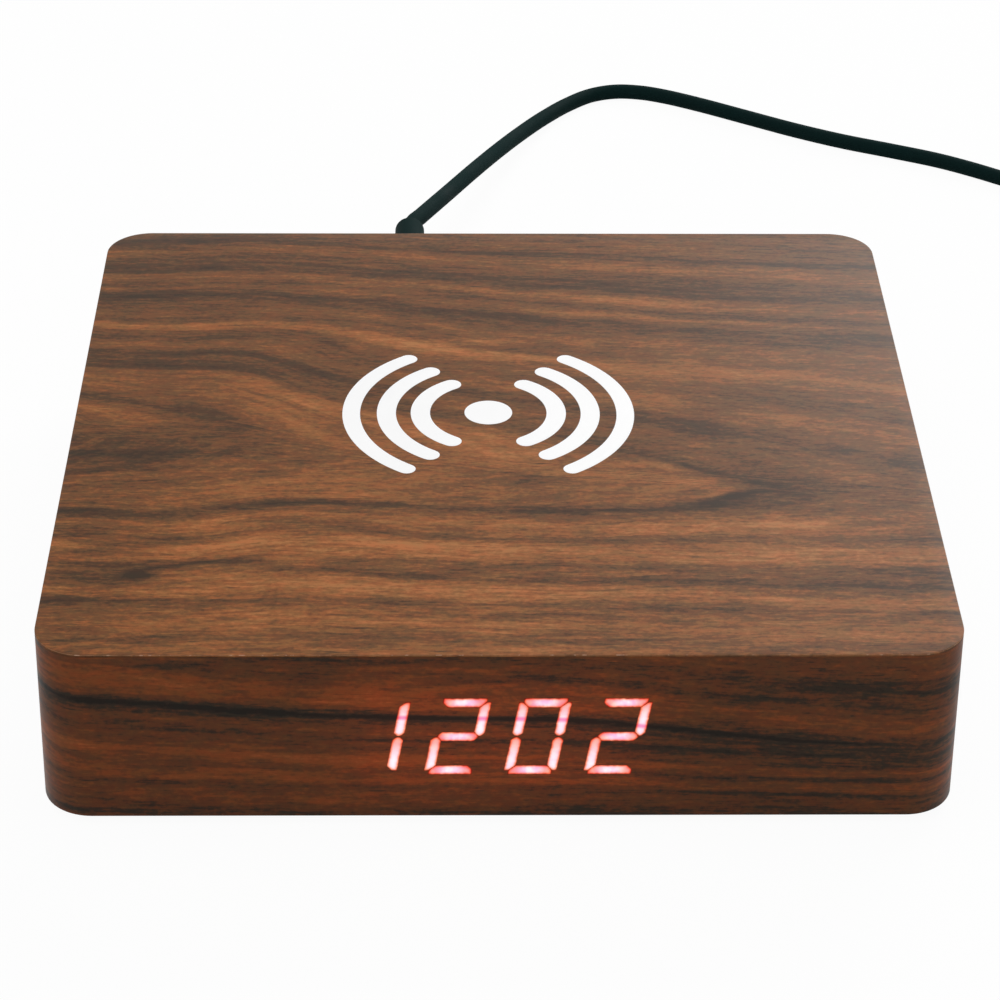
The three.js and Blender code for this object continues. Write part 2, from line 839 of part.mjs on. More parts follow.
const charger = groupAt(clock, 0, chargeShift, 0);
place(charger, "charging_winding", chargingWinding(), materials.copper, [0, 0, windingLevel]);
place(
  charger,
  "winding_shield",
  standing(rectangle(shieldSide, shieldSide, shieldCorner), shieldTop - shieldThickness, shieldTop),
  materials.ferrite,
);
place(charger, "charger_board", chargerBoard(), materials.greenBoard);
place(charger, "charger_chip", underBoard(chargerChipSide, chargerChipHeight), materials.blackPlastic, [
  chargerBoardAcross,
  chargerBoardLength / 4,
  0,
]);
place(charger, "charger_choke", underBoard(chargerChokeSide, chargerChokeHeight), materials.ferrite, [
  chargerBoardAcross,
  -chargerBoardLength / 4,
  0,
]);
chargerScrewSpots.forEach(([x, y], i) => {
  const length = pocketLevel - glueLine - chargerBoardBottom;
  const piece = screw(smallHead, smallHeadHeight, smallShank, length).rotateX(Math.PI);
  place(charger, `charger_screw_${i + 1}`, piece, materials.steel, [
    x,
    y - chargeShift,
    chargerBoardBottom - glueLine,
  ]);
});

function windingLead() {
  const start = windingOuterRadius + windingWire / 2 + looseFit;
  const end = chargerBoardStart + leadSlotWidth / 2;
  const middle = (start + end) / 2;
  const low = chargerBoardTop + looseFit;
  const curve = curveThrough([
    [start, 0, windingLevel],
    [middle, 0, windingLevel - looseFit / 2],
    [end, 0, (windingLevel + low) / 2],
    [end, 0, low],
  ]);
  return swept(regularPolygon(windingLeadRadius, wireSides), curve, wireSteps);
}
place(charger, "winding_lead", windingLead(), materials.copper);

// The control board with its socket, switches, buttons and sounder

const controls = groupAt(clock, 0, 0, boardTop);
const axisRise = controlHeight - boardTop;

function controlBoard() {
  const board = standing(
    rectangle(boardEnd - boardStart, boardDepth),
    -boardThickness,
    0,
  ).translate((boardStart + boardEnd) / 2, boardMiddle, 0);
  const holes = boardScrewSpots.map(([x, y]) =>
    standingDisc(smallClearance, -boardThickness - overrun, overrun, quarterFacets).translate(x, y, 0),
  );
  return cut(board, holes);
}

const socketMouth = rearPocketFace - looseFit;

function powerSocket() {
  const body = lying(rectangle(socketWidth, socketHeight), socketMouth - socketDepth, socketMouth);
  const bore = lyingDisc(socketBore, socketMouth - socketDepth + socketBack, socketMouth + overrun);
  const pin = lyingDisc(
    socketPinRadius,
    socketMouth - socketDepth + socketBack / 2,
    socketMouth - socketPinSet,
    quarterFacets,
  );
  return join([cut(body, [bore]), pin]);
}

const flangeBack = rearPocketFace - looseFit - flangeThickness;
const plungerFront = flangeBack - glueLine;
const switchFace = flangeBack - buttonTravel - looseFit;

function pushButton() {
  const tip = caseSide / 2 + buttonProud;
  return turned([
    [0, flangeBack],
    [buttonFlange, flangeBack],
    [buttonFlange, flangeBack + flangeThickness],
    [buttonRadius, flangeBack + flangeThickness],
    [buttonRadius, tip - buttonCrown],
    [buttonRadius - buttonCrown, tip],
    [0, tip],
  ]);
}

function switchHousing() {
  const height = axisRise + switchRise - glueLine;
  const body = lying(rectangle(switchWidth, height), switchFace - switchDepth, switchFace);
  body.translate(0, 0, (switchRise - axisRise + glueLine) / 2);
  return cut(body, [lyingDisc(plungerBore, switchFace - plungerBoreDepth, switchFace + overrun)]);
}

place(controls, "control_board", controlBoard(), materials.greenBoard);
place(controls, "power_socket", powerSocket(), materials.blackPlastic, [
  socketAcross,
  0,
  axisRise + glueLine,
]);
["set", "up", "down"].forEach((job, i) => {
  const at = [buttonSpots[i], 0, axisRise];
  place(controls, `${job}_button`, pushButton(), materials.blackPlastic, at);
  place(
    controls,
    `${job}_plunger`,
    lyingDisc(plungerRadius, switchFace - plungerReach, plungerFront, quarterFacets),
    materials.greyPlastic,
    at,
  );
  place(controls, `${job}_switch`, switchHousing(), materials.greyPlastic, at);
});

const buzzerBody = turnedUpright([
  [0, glueLine],
  [buzzerRadius, glueLine],
  [buzzerRadius, buzzerHeight],
  [buzzerHole, buzzerHeight],
  [buzzerHole, buzzerHeight - buzzerHoleDepth],
  [0, buzzerHeight - buzzerHoleDepth],
]);
place(controls, "buzzer", buzzerBody, materials.blackPlastic, [buzzerAcross, boardMiddle, 0]);
place(
  controls,
  "clock_chip",
  standing(rectangle(clockChipLength, clockChipWidth), glueLine, clockChipHeight),
  materials.blackPlastic,
  [THREE.MathUtils.lerp(boardStart, boardEnd, clockChipShare), boardFront + clockChipInset, 0],
);
boardScrewSpots.forEach(([x, y], i) => {
  const length = boardThickness + postScrewDepth;
  const piece = screw(smallHead, smallHeadHeight, smallShank, length);
  place(controls, `board_screw_${i + 1}`, piece, materials.steel, [x, y, glueLine]);
});

// Wires between the boards

function supplyWire() {
  const startX = boardEnd - supplyWireSet;
  const endX = chargerBoardStart + supplyWireInset;
  const startY = boardFront + boardScrewInset;
  const endY = chargeShift + chargerBoardLength / 4;
  const low = boardTop + looseFit;
  const high = chargerBoardBottom - looseFit;
  const rise = high - low;
  const curve = curveThrough([
    [startX, startY, low],
    [startX, startY, low + rise / 4],
    [(startX + endX) / 2, (startY + endY) / 2, low + rise / 2],
    [endX, endY, high - rise / 4],
    [endX, endY, high],
  ]);
  return swept(regularPolygon(supplyWireRadius, wireSides), curve, wireSteps);
}
place(clock, "supply_wire", supplyWire(), materials.wire);

// A flat cable that runs low over the base cover from the display to the control board.
function displayRibbon() {
  const startY = -shellHalf + displayBoardBack + looseFit;
  const startZ = displayHeight - moduleHeight / 3;
  const lowZ = coverTop + 2 * ribbonThickness;
  const endY = boardFront - looseFit;
  const endZ = boardTop - boardThickness / 2;
  const way = [
    [0, startY, startZ],
    [0, startY + wall, startZ - millRadius],
    [0, startY + cornerBlock, lowZ],
    [0, (startY + endY) / 2, lowZ],
    [0, endY - cornerBlock, lowZ + millRadius],
    [0, endY - wall, endZ - ribbonThickness],
    [0, endY, endZ],
  ];
  const points = curveThrough(way).getPoints(way.length * ribbonSteps);
  const sides = points.map(() => new THREE.Vector3(1, 0, 0));
  return ribbonAlong(points, sides, ribbonWidth / 2, ribbonThickness / 2);
}
place(clock, "display_ribbon", displayRibbon(), materials.greyPlastic, [ribbonAcross, 0, 0]);

// The base: cover, screws, feet and the battery well with its twist door

const base = groupAt(clock, 0, 0, footStand);
const well = groupAt(base, wellAcross, wellAlong, 0);
const doorHole = doorRadius + looseFit;
const wellRadius = doorRadius + lugReach + looseFit;
const wellOutside = wellRadius + wellWall;
const wellTop = wellHeight + wellRoof;
const postTop = boardTop - boardThickness - glueLine - footStand;
const contactSlotWidth = contactWidth + 2 * looseFit;
const contactSlotDepth = contactThickness + 2 * looseFit;
const sideContactX = cellRadius + looseFit + contactThickness / 2;

function ringSector(inner, outer, middle, length) {
  const half = length / (inner + outer);
  const shape = new THREE.Shape();
  shape.absarc(0, 0, outer, middle - half, middle + half, false);
  shape.absarc(0, 0, inner, middle + half, middle - half, true);
  return shape;
}

function baseCover() {
  const cornerRound = shellRadius - wall + rebateLedge - looseFit;
  const outline = rectangle(2 * coverHalf, 2 * coverHalf, cornerRound);
  const plate = standing(outline, 0, coverThickness);
  const wellBody = standingDisc(wellOutside, coverThickness - glueLine, wellTop, fineFacets);
  wellBody.translate(wellAcross, wellAlong, 0);
  const posts = boardScrewSpots.map(([x, y]) =>
    standingDisc(postRadius, coverThickness - glueLine, postTop).translate(x, y, 0),
  );
  const postPilots = boardScrewSpots.map(([x, y]) =>
    standingDisc(smallPilot, postTop - postScrewDepth - glueLine, postTop + overrun, quarterFacets)
      .translate(x, y, 0),
  );
  const door = standingDisc(doorHole, -overrun, ledgeThickness + overrun, fineFacets);
  const inside = standingDisc(wellRadius, ledgeThickness, wellHeight, fineFacets);
  const notches = [-doorTurn, Math.PI - doorTurn].map((angle) =>
    standing(
      ringSector(doorRadius - looseFit, wellRadius, angle, lugLength + 4 * looseFit),
      -overrun,
      ledgeThickness + overrun,
    ),
  );
  const slots = contactSlots();
  const wellCuts = [door, inside, ...notches, ...slots].map((tool) =>
    tool.translate(wellAcross, wellAlong, 0),
  );
  const screwHoles = mirroredPairs(coverScrewSpot, coverScrewSpot).map(([x, y]) =>
    turnedUpright(countersink(), screwSides).translate(x, y, 0),
  );
  const footSeats = mirroredPairs(footSpot, footSpot).map(([x, y]) =>
    standingDisc(footRadius + looseFit, -overrun, footSunk + glueLine).translate(x, y, 0),
  );
  return cut(join([plate, wellBody, ...posts]), [
    ...postPilots,
    ...wellCuts,
    ...screwHoles,
    ...footSeats,
    ...soundHoles(),
  ]);
}

function countersink() {
  const clearance = screwPilot + glueLine;
  return [
    [0, -overrun],
    [screwHead + looseFit, -overrun],
    [screwHead + looseFit, screwHeadHeight / 3],
    [clearance, screwHeadHeight],
    [clearance, coverThickness + overrun],
    [0, coverThickness + overrun],
  ];
}

function soundHoles() {
  return Array.from({ length: soundHoleCount }, (_, i) => {
    const angle = (i * 2 * Math.PI) / soundHoleCount;
    const x = buzzerAcross + soundHoleRing * Math.cos(angle);
    const y = boardMiddle + soundHoleRing * Math.sin(angle);
    const hole = standingDisc(soundHoleRadius, -overrun, coverThickness + overrun, quarterFacets);
    return hole.translate(x, y, 0);
  });
}

function contactSlots() {
  const slot = () =>
    standing(rectangle(contactSlotDepth, contactSlotWidth), wellHeight - overrun, wellTop + overrun);
  return [slot(), slot().translate(sideContactX, 0, 0)];
}

const cellBottom = doorThickness + looseFit;
const cellTop = cellBottom + cellThickness;

// A bent strip: an outline in X and Z, as wide as a contact along Y.
function contactStrip(corners) {
  const shape = new THREE.Shape(corners.map((corner) => new THREE.Vector2(...corner)));
  return lying(shape, -contactWidth / 2, contactWidth / 2);
}

// Presses on the middle of the cell's upper face, and stands through the well's roof.
function topContact() {
  const half = contactThickness / 2;
  const low = cellTop + looseFit;
  const foot = cellRadius / 2;
  const high = wellTop + contactTail;
  return contactStrip([
    [-half, low],
    [foot, low],
    [foot, low + contactThickness],
    [half, low + contactThickness],
    [half, high],
    [-half, high],
  ]);
}

// Stands beside the cell's rim, and through the well's roof.
function sideContact() {
  const half = contactThickness / 2;
  const low = cellBottom + looseFit;
  const high = wellTop + contactTail;
  return contactStrip([
    [-half, low],
    [half, low],
    [half, high],
    [-half, high],
  ]);
}

function batteryDoor() {
  const disc = standingDisc(doorRadius, 0, doorThickness, fineFacets);
  const lugs = [0, Math.PI].map((angle) =>
    standing(
      ringSector(doorRadius - lugReach, doorRadius + lugReach, angle, lugLength),
      ledgeThickness + looseFit,
      ledgeThickness + looseFit + lugThickness,
    ),
  );
  const slot = standing(
    rectangle(coinSlotLength, coinSlotWidth, coinSlotWidth / 2 - glueLine),
    -overrun,
    coinSlotDepth,
  );
  return cut(join([disc, ...lugs]), [slot]);
}

place(base, "base_cover", baseCover(), materials.blackPlastic);
mirroredPairs(coverScrewSpot, coverScrewSpot).forEach(([x, y], i) => {
  const length = coverThickness + screwLength - screwHeadHeight - overrun;
  const piece = screw(screwHead, screwHeadHeight, screwShank, length, true).rotateX(Math.PI);
  place(base, `base_screw_${i + 1}`, piece, materials.steel, [x, y, screwHeadHeight]);
});
mirroredPairs(footSpot, footSpot).forEach(([x, y], i) => {
  const foot = turnedUpright([
    [0, 0],
    [footSoleRadius, 0],
    [footRadius, footStand],
    [footRadius, footStand + footSunk],
    [0, footStand + footSunk],
  ]);
  place(base, `rubber_foot_${i + 1}`, foot, materials.rubber, [x, y, -footStand]);
});
place(well, "battery_door", batteryDoor(), materials.blackPlastic);
place(well, "coin_cell", standingDisc(cellRadius, cellBottom, cellTop), materials.steel);
place(well, "cell_top_contact", topContact(), materials.nickel);
place(well, "cell_side_contact", sideContact(), materials.nickel, [sideContactX, 0, 0]);

// The supply lead: near plug, free run, tied coil and far plug

const plugFace = rearPocketFace;
const gripEnd = plugFace + gripLength;
const reliefEnd = gripEnd + reliefLength;
const nearPlug = groupAt(clock, socketAcross, 0, controlHeight);

function plugGrip() {
  const nose = caseSide / 2 + gripNoseLength - wall / 2;
  const halfway = reliefRound * (1 - Math.SQRT1_2); // the rounding's inset halfway round
  const seat = barrelRadius + glueLine;
  return turned([
    [0, plugFace + barrelRoot],
    [seat, plugFace + barrelRoot],
    [seat, plugFace],
    [gripRadius - gripRound, plugFace],
    [gripRadius - gripRound / 2, plugFace + gripRound],
    [gripRadius - gripRound / 2, nose],
    [gripRadius, nose + gripRound],
    [gripRadius, gripEnd - gripRound],
    [gripRadius - gripRound, gripEnd],
    [reliefRadius, gripEnd],
    [reliefEndRadius, reliefEnd - reliefRound],
    [reliefEndRadius - halfway, reliefEnd - halfway],
    [reliefEndRadius - reliefRound, reliefEnd],
    [0, reliefEnd],
  ]);
}

function plugBarrel() {
  const tip = plugFace - barrelLength;
  const root = plugFace + barrelRoot - glueLine;
  return turned(
    [
      [0, plugFace],
      [barrelBore, plugFace],
      [barrelBore, tip],
      [barrelRadius, tip],
      [barrelRadius, root],
      [0, root],
    ],
    turnedSides,
  );
}

place(nearPlug, "plug_grip", plugGrip(), materials.cordBlack);
place(nearPlug, "plug_barrel", plugBarrel(), materials.nickel);

// Coil

const farHeight = farGripHeight / 2 + glueLine;
const layerOne = cordRadius + tieThickness + looseFit + glueLine;
const layerTwo = layerOne + coilPitch;
const sweep = 2 * Math.PI * coilTurns + (coilExit - coilEntry);
const climb = Math.PI; // the half turn in which the spiral reverses
const layerSweep = (sweep - climb) / 2;
const inwardShare = layerSweep / (2 * Math.PI);
const coilOuterRadius = coilMidRadius + (coilPitch * inwardShare) / 2;
const coilInnerRadius = coilMidRadius - (coilPitch * inwardShare) / 2;
const drift = coilPitch / (2 * Math.PI);

// Where the cord is after it has turned so far: in along the lower layer, up, and out again.
function coilPoint(turn) {
  const angle = coilEntry + turn;
  const into = turn - layerSweep;
  let radius = coilOuterRadius - drift * turn;
  let height = layerOne;
  if (into > 0 && into < climb) {
    const share = into / climb;
    radius = coilInnerRadius - drift * climb * share * (1 - share);
    height = THREE.MathUtils.lerp(layerOne, layerTwo, THREE.MathUtils.smoothstep(share, 0, 1));
  }
  if (into >= climb) {
    radius = coilInnerRadius + drift * (into - climb);
    height = layerTwo;
  }
  return new THREE.Vector3(radius * Math.cos(angle), radius * Math.sin(angle), height);
}

const heading = (angle) => new THREE.Vector3(-Math.sin(angle), Math.cos(angle), 0);

// The coil's line: a straight start, the turns, and a straight tail down to the far plug.
function coilLine() {
  const start = coilPoint(0);
  const lead = [1, 1 / 2].map((share) =>
    start.clone().addScaledVector(heading(coilEntry), -4 * cordRadius * share),
  );
  const stepCount = Math.round((sweep / (2 * Math.PI)) * coilSteps);
  const turns = Array.from({ length: stepCount + 1 }, (_, i) => coilPoint((sweep * i) / stepCount));
  const end = coilPoint(sweep);
  const tail = Array.from({ length: tailSteps }, (_, i) => {
    const share = (i + 1) / tailSteps;
    const slope = THREE.MathUtils.smoothstep(share * tailSteps, 0, tailSteps - 1);
    const point = end.clone().addScaledVector(heading(coilExit), coilTail * share);
    point.z = THREE.MathUtils.lerp(layerTwo, farHeight, slope);
    return point;
  });
  return [...lead, ...turns, ...tail];
}

// A tube of a few sides along a line of points, its sections square to the line.
function cordAlong(points, radius, sides) {
  const up = new THREE.Vector3(0, 0, 1);
  const corners = points.flatMap((point, i) => {
    const before = points[Math.max(i - 1, 0)];
    const after = points[Math.min(i + 1, points.length - 1)];
    const way = after.clone().sub(before).normalize();
    const right = way.clone().cross(up).normalize();
    const over = right.clone().cross(way);
    return Array.from({ length: sides }, (_, k) => {
      const angle = ((k + 1 / 2) * 2 * Math.PI) / sides;
      return point
        .clone()
        .addScaledVector(right, radius * Math.cos(angle))
        .addScaledVector(over, radius * Math.sin(angle));
    });
  });
  return tubeThroughRings(corners, sides);
}

function lengthOf(points) {
  return points.slice(1).reduce((sum, point, i) => sum + point.distanceTo(points[i]), 0);
}

// The least gap of a line's tube to itself, past the stretch that a point belongs to.
function leastSelfGap(points, radius) {
  const along = [0];
  points.slice(1).forEach((point, i) => along.push(along[i] + point.distanceTo(points[i])));
  let least = Infinity;
  points.forEach((point, i) => {
    for (let j = i + 1; j < points.length; j += 1) {
      if (along[j] - along[i] < coilMidRadius) continue;
      least = Math.min(least, segmentDistance(point, points[j - 1], points[j]));
    }
  });
  return least - 2 * radius;
}

function segmentDistance(point, from, to) {
  const nearest = new THREE.Vector3();
  new THREE.Line3(from, to).closestPointToPoint(point, true, nearest);
  return nearest.distanceTo(point);
}

const coilPoints = coilLine();
const coil = groupAt(clock, coilAcross, coilAlong, 0);
place(coil, "cord_coil", cordAlong(coilPoints, cordRadius, coilSides), materials.cordBlack);
const selfGap = leastSelfGap(coilPoints, cordRadius);
console.log(`least gap of the coil to itself: ${selfGap.toFixed(2)} mm`);

// The run ends straight and square against the coil's start, a small gap short of it.
function runPoints() {
  const offset = new THREE.Vector3(coilAcross, coilAlong, 0);
  const meet = coilPoints[0].clone().add(offset);
  const back = heading(coilEntry).negate();
  const end = meet.clone().addScaledVector(back, looseFit);
  const before = end.clone().addScaledVector(back, 2 * cordRadius);
  const curve = new THREE.CatmullRomCurve3(
    [...leadRoute.map(vector), before, end],
    false,
    "centripetal",
  );
  const steps = Math.round(curve.getLength() / cordStep);
  const points = curve.getSpacedPoints(steps);
  points.splice(-1, 1, before, end);
  return points;
}

const run = runPoints();
place(clock, "cord_run", cordAlong(run, cordRadius, cordSides), materials.cordBlack);
const cordLength = lengthOf(run) + lengthOf(coilPoints);
console.log(`length of the lead's cord: ${cordLength.toFixed(0)} mm`);

// The tie: a flat loop round all the turns, where it crosses them

// The nearest and farthest turn from the coil's axis, within the tie's width.
function turnsAtTie() {
  const out = new THREE.Vector3(Math.cos(tieAngle), Math.sin(tieAngle), 0);
  const across = heading(tieAngle);
  const nearTie = coilPoints.filter(
    (point) => point.dot(out) > 0 && Math.abs(point.dot(across)) < tieWidth,
  );
  const reaches = nearTie.map((point) => point.dot(out));
  return [Math.min(...reaches) - cordRadius, Math.max(...reaches) + cordRadius];
}

function cableTie() {
  const [near, far] = turnsAtTie();
  const inner = rectangle(
    far - near + 2 * looseFit,
    layerTwo - layerOne + 2 * cordRadius + 2 * looseFit,
    cordRadius,
  );
  const outline = rectangle(
    far - near + 2 * looseFit + 2 * tieThickness,
    layerTwo - layerOne + 2 * cordRadius + 2 * looseFit + 2 * tieThickness,
    cordRadius + tieThickness,
  );
  outline.holes.push(inner);
  const loop = lying(outline, -tieWidth / 2, tieWidth / 2);
  return loop.translate((near + far) / 2, 0, (layerOne + layerTwo) / 2);
}
place(coil, "cable_tie", cableTie(), materials.rubber).rotation.z = tieAngle;

// Far plug: a flat four-contact plug that lies beside the coil

const coilEnd = coilPoints.at(-1);
const farPlug = groupAt(coil, coilEnd.x, coilEnd.y + looseFit, farHeight);
const farGripStart = farReliefLength;
const farGripEnd = farGripStart + farGripLength;
const shellMouth = farGripEnd + shellLength;

function farGrip() {
  const relief = turned([
    [0, 0],
    [farReliefEndRadius, 0],
    [farReliefRadius, farReliefLength],
    [farReliefRadius, farReliefLength + overrun],
    [0, farReliefLength + overrun],
  ]);
  const body = lying(rectangle(farGripWidth, farGripHeight, farGripRound), farGripStart, farGripEnd);
  const seat = lying(
    rectangle(shellWidth + 2 * glueLine, shellHeight + 2 * glueLine, shellCorner),
    farGripEnd - shellRoot - glueLine,
    farGripEnd + overrun,
  );
  return cut(join([relief, body]), [seat]);
}

function farShell() {
  const outline = rectangle(shellWidth, shellHeight, shellCorner);
  outline.holes.push(rectangle(shellWidth - 2 * shellSheet, shellHeight - 2 * shellSheet));
  const sleeve = lying(outline, farGripEnd - shellRoot, shellMouth);
  const latchHoles = [-1, 1].map((side) =>
    standing(rectangle(latchHoleSide, latchHoleSide), -shellHeight, shellHeight).translate(
      (side * latchHoleSpread) / 2,
      shellMouth - latchHoleSet,
      0,
    ),
  );
  return cut(sleeve, latchHoles);
}

function farTongue() {
  const width = shellWidth - 2 * shellSheet - 2 * glueLine;
  const height = shellHeight - 2 * shellSheet - 2 * glueLine;
  const root = lying(rectangle(width, height), farGripEnd - shellRoot + glueLine, farGripEnd);
  const tongue = lying(
    rectangle(width, tongueThickness),
    farGripEnd - glueLine,
    shellMouth - tongueSet,
  );
  tongue.translate(0, 0, (height - tongueThickness) / 2);
  return join([root, tongue]);
}

place(farPlug, "far_plug_grip", farGrip(), materials.cordBlack);
place(farPlug, "far_plug_shell", farShell(), materials.nickel);
place(farPlug, "far_plug_tongue", farTongue(), materials.whitePlastic);

export default clock;
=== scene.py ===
"""A wireless charging alarm clock in walnut-look film, with its supply lead. Metres, +Z up."""

import math

import bpy
from mathutils import Matrix, Vector

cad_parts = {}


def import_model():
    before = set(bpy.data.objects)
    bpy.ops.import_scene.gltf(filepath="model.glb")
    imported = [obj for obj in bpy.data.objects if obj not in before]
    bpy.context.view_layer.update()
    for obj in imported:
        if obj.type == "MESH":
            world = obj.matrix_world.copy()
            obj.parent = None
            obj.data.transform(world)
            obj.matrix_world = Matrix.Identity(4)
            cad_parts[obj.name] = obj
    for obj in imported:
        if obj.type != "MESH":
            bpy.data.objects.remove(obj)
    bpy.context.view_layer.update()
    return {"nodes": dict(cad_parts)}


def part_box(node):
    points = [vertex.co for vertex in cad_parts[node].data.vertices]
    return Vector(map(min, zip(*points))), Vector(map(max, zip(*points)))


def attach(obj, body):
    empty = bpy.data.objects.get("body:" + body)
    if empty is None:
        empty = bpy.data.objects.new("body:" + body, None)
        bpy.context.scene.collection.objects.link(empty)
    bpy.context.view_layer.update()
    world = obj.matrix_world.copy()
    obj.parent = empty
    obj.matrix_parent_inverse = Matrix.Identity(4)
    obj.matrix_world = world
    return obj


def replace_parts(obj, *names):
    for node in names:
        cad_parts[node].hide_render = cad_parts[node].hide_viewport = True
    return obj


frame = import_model()

MM = 0.001
ROUND_STEPS = 48  # round a turned piece
FINE_STEPS = 64  # round one that is seen closely

# Case, from the frame
CASE_LOW, CASE_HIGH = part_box("side_film")
TOP_LOW, TOP_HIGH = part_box("top_film")
CASE_HALF = TOP_HIGH.x
CASE_SIDE = 2 * CASE_HALF
CASE_TOP = TOP_HIGH.z
CASE_BOTTOM = CASE_LOW.z
CORNER_RADIUS = 8.2 * MM
FILM = 0.4 * MM
TOP_EDGE = 0.16 * MM
FOOT_EDGE = 0.25 * MM

# Camera, fitted to the outline of the case in the 1000 px photograph, with angles in degrees
CAMERA_AZIMUTH = -1.1822
CAMERA_ELEVATION = 29.0988
CAMERA_ROLL = 0.6032
CAMERA_DISTANCE = 664.64 * MM
CAMERA_TARGET = Vector((3.167, 69.27, 1.5)) * MM
SENSOR_WIDTH = 36
FOCAL_LENGTH = 121.07
SHIFT_X = -0.00537
SHIFT_Y = -0.1167

# Supply lead
CORD_RADIUS = 1.7 * MM
LEAD_ROUTE_MM = (
    (-16, 107.1, 17), (-15.3, 110.2, 16.7), (-14, 114, 16), (-11.8, 121, 14.7),
    (-8.2, 132.6, 12.5), (-3, 149.1, 9.5), (2.4, 165.5, 6.5), (8.1, 180.4, 4.1),
    (13.8, 192.6, 2.5), (19.6, 201.4, 1.9), (25.4, 207.1, 1.75), (31.1, 209.2, 1.75),
    (36.8, 208.7, 1.75), (42.2, 206.6, 1.75), (50.3, 201.9, 1.75), (60.9, 194.8, 1.75),
    (71.4, 187.8, 1.75), (81.8, 181.8, 1.75), (92.1, 176.9, 1.75), (102, 171.9, 1.75),
    (109.4, 167, 1.75), (114.9, 162.8, 1.75), (121, 157.9, 1.9),
)
CORD_ROOT_MM = (-16, 104.8, 17)  # in the near plug, as the frame's cord starts just past it
FAR_ROOT = 2 * MM  # of the cord in the far plug
COIL_AXIS = Vector((149.5, 168.6, 0)) * MM
COIL_PITCH = 3.95 * MM
COIL_MID_RADIUS = 20 * MM
COIL_ENTRY = math.radians(-128)
COIL_EXIT = 0.0
COIL_TURNS = 7
COIL_TAIL = 18 * MM
COIL_STEPS = 48  # round one turn
COIL_LEVEL = 2.65 * MM
TAIL_STEPS = 12
FAR_LEVEL = 4.05 * MM
ROUTE_STEPS = 6  # between two points of the route


# Mesh helpers. A shape is a pair: its vertices and its faces.


def loft(rings, caps=True):
    """A skin over rings of as many points each, with its two ends closed."""
    count = len(rings[0])
    vertices = [Vector(point) for ring in rings for point in ring]
    faces = []
    for level in range(len(rings) - 1):
        for i in range(count):
            a = level * count + i
            b = level * count + (i + 1) % count
            faces.append((a, b, b + count, a + count))
    if caps:
        last = (len(rings) - 1) * count
        faces.append(tuple(reversed(range(count))))
        faces.append(tuple(range(last, last + count)))
    return vertices, faces


def merged(*shapes):
    """Several shapes as one."""
    vertices, faces = [], []
    for points, polygons in shapes:
        start = len(vertices)
        vertices.extend(points)
        faces.extend(tuple(start + i for i in polygon) for polygon in polygons)
    return vertices, faces


def moved(shape, matrix):
    return [matrix @ point for point in shape[0]], shape[1]


def at(x=0.0, y=0.0, z=0.0):
    return Matrix.Translation((x, y, z))


def turned_about(axis, degrees):
    return Matrix.Rotation(math.radians(degrees), 4, axis)


def circle(radius, height, steps):
    angles = (2 * math.pi * i / steps for i in range(steps))
    return [Vector((radius * math.cos(a), radius * math.sin(a), height)) for a in angles]


def turned(profile, steps=ROUND_STEPS):
    """A piece turned about Z, through (radius, height) points from its lower end to its upper."""
    return loft([circle(radius, height, steps) for radius, height in profile])


def rounded_rectangle(width, depth, radius, height, steps):
    x, y = width / 2 - radius, depth / 2 - radius
    points = []
    for quarter, (across, along) in enumerate(((1, 1), (-1, 1), (-1, -1), (1, -1))):
        for step in range(steps + 1):
            angle = (quarter + step / steps) * math.pi / 2
            spot = (across * x + radius * math.cos(angle), along * y + radius * math.sin(angle))
            points.append(Vector((*spot, height)))
    return points


def rounded_edge(radius, steps=4):
    """(inset, rise) pairs of a quarter round, from its side to its top."""
    angles = (math.pi / 2 * i / steps for i in range(steps + 1))
    return [(radius * (1 - math.cos(a)), radius * math.sin(a)) for a in angles]


def placed(name, data):
    """A new object of the scene."""
    made = bpy.data.objects.new(name, data)
    bpy.context.scene.collection.objects.link(made)
    return made


def piece(name, shape, finish, body="clock", crease=35):
    """One new piece of the scene: a smooth-shaded mesh that rides on a body."""
    mesh = bpy.data.meshes.new(name)
    mesh.from_pydata([tuple(v) for v in shape[0]], [], shape[1])
    mesh.validate()
    mesh.shade_smooth()
    mesh.set_sharp_from_angle(angle=math.radians(crease))
    mesh.materials.append(finish)
    made = placed(name, mesh)
    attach(made, body)
    return made


def write_vectors(made, name, domain, values):
    """Gives a mesh its own measures, which its material reads by their name."""
    attribute = made.data.attributes.new(name, "FLOAT_VECTOR", domain)
    attribute.data.foreach_set("vector", values)


# Materials


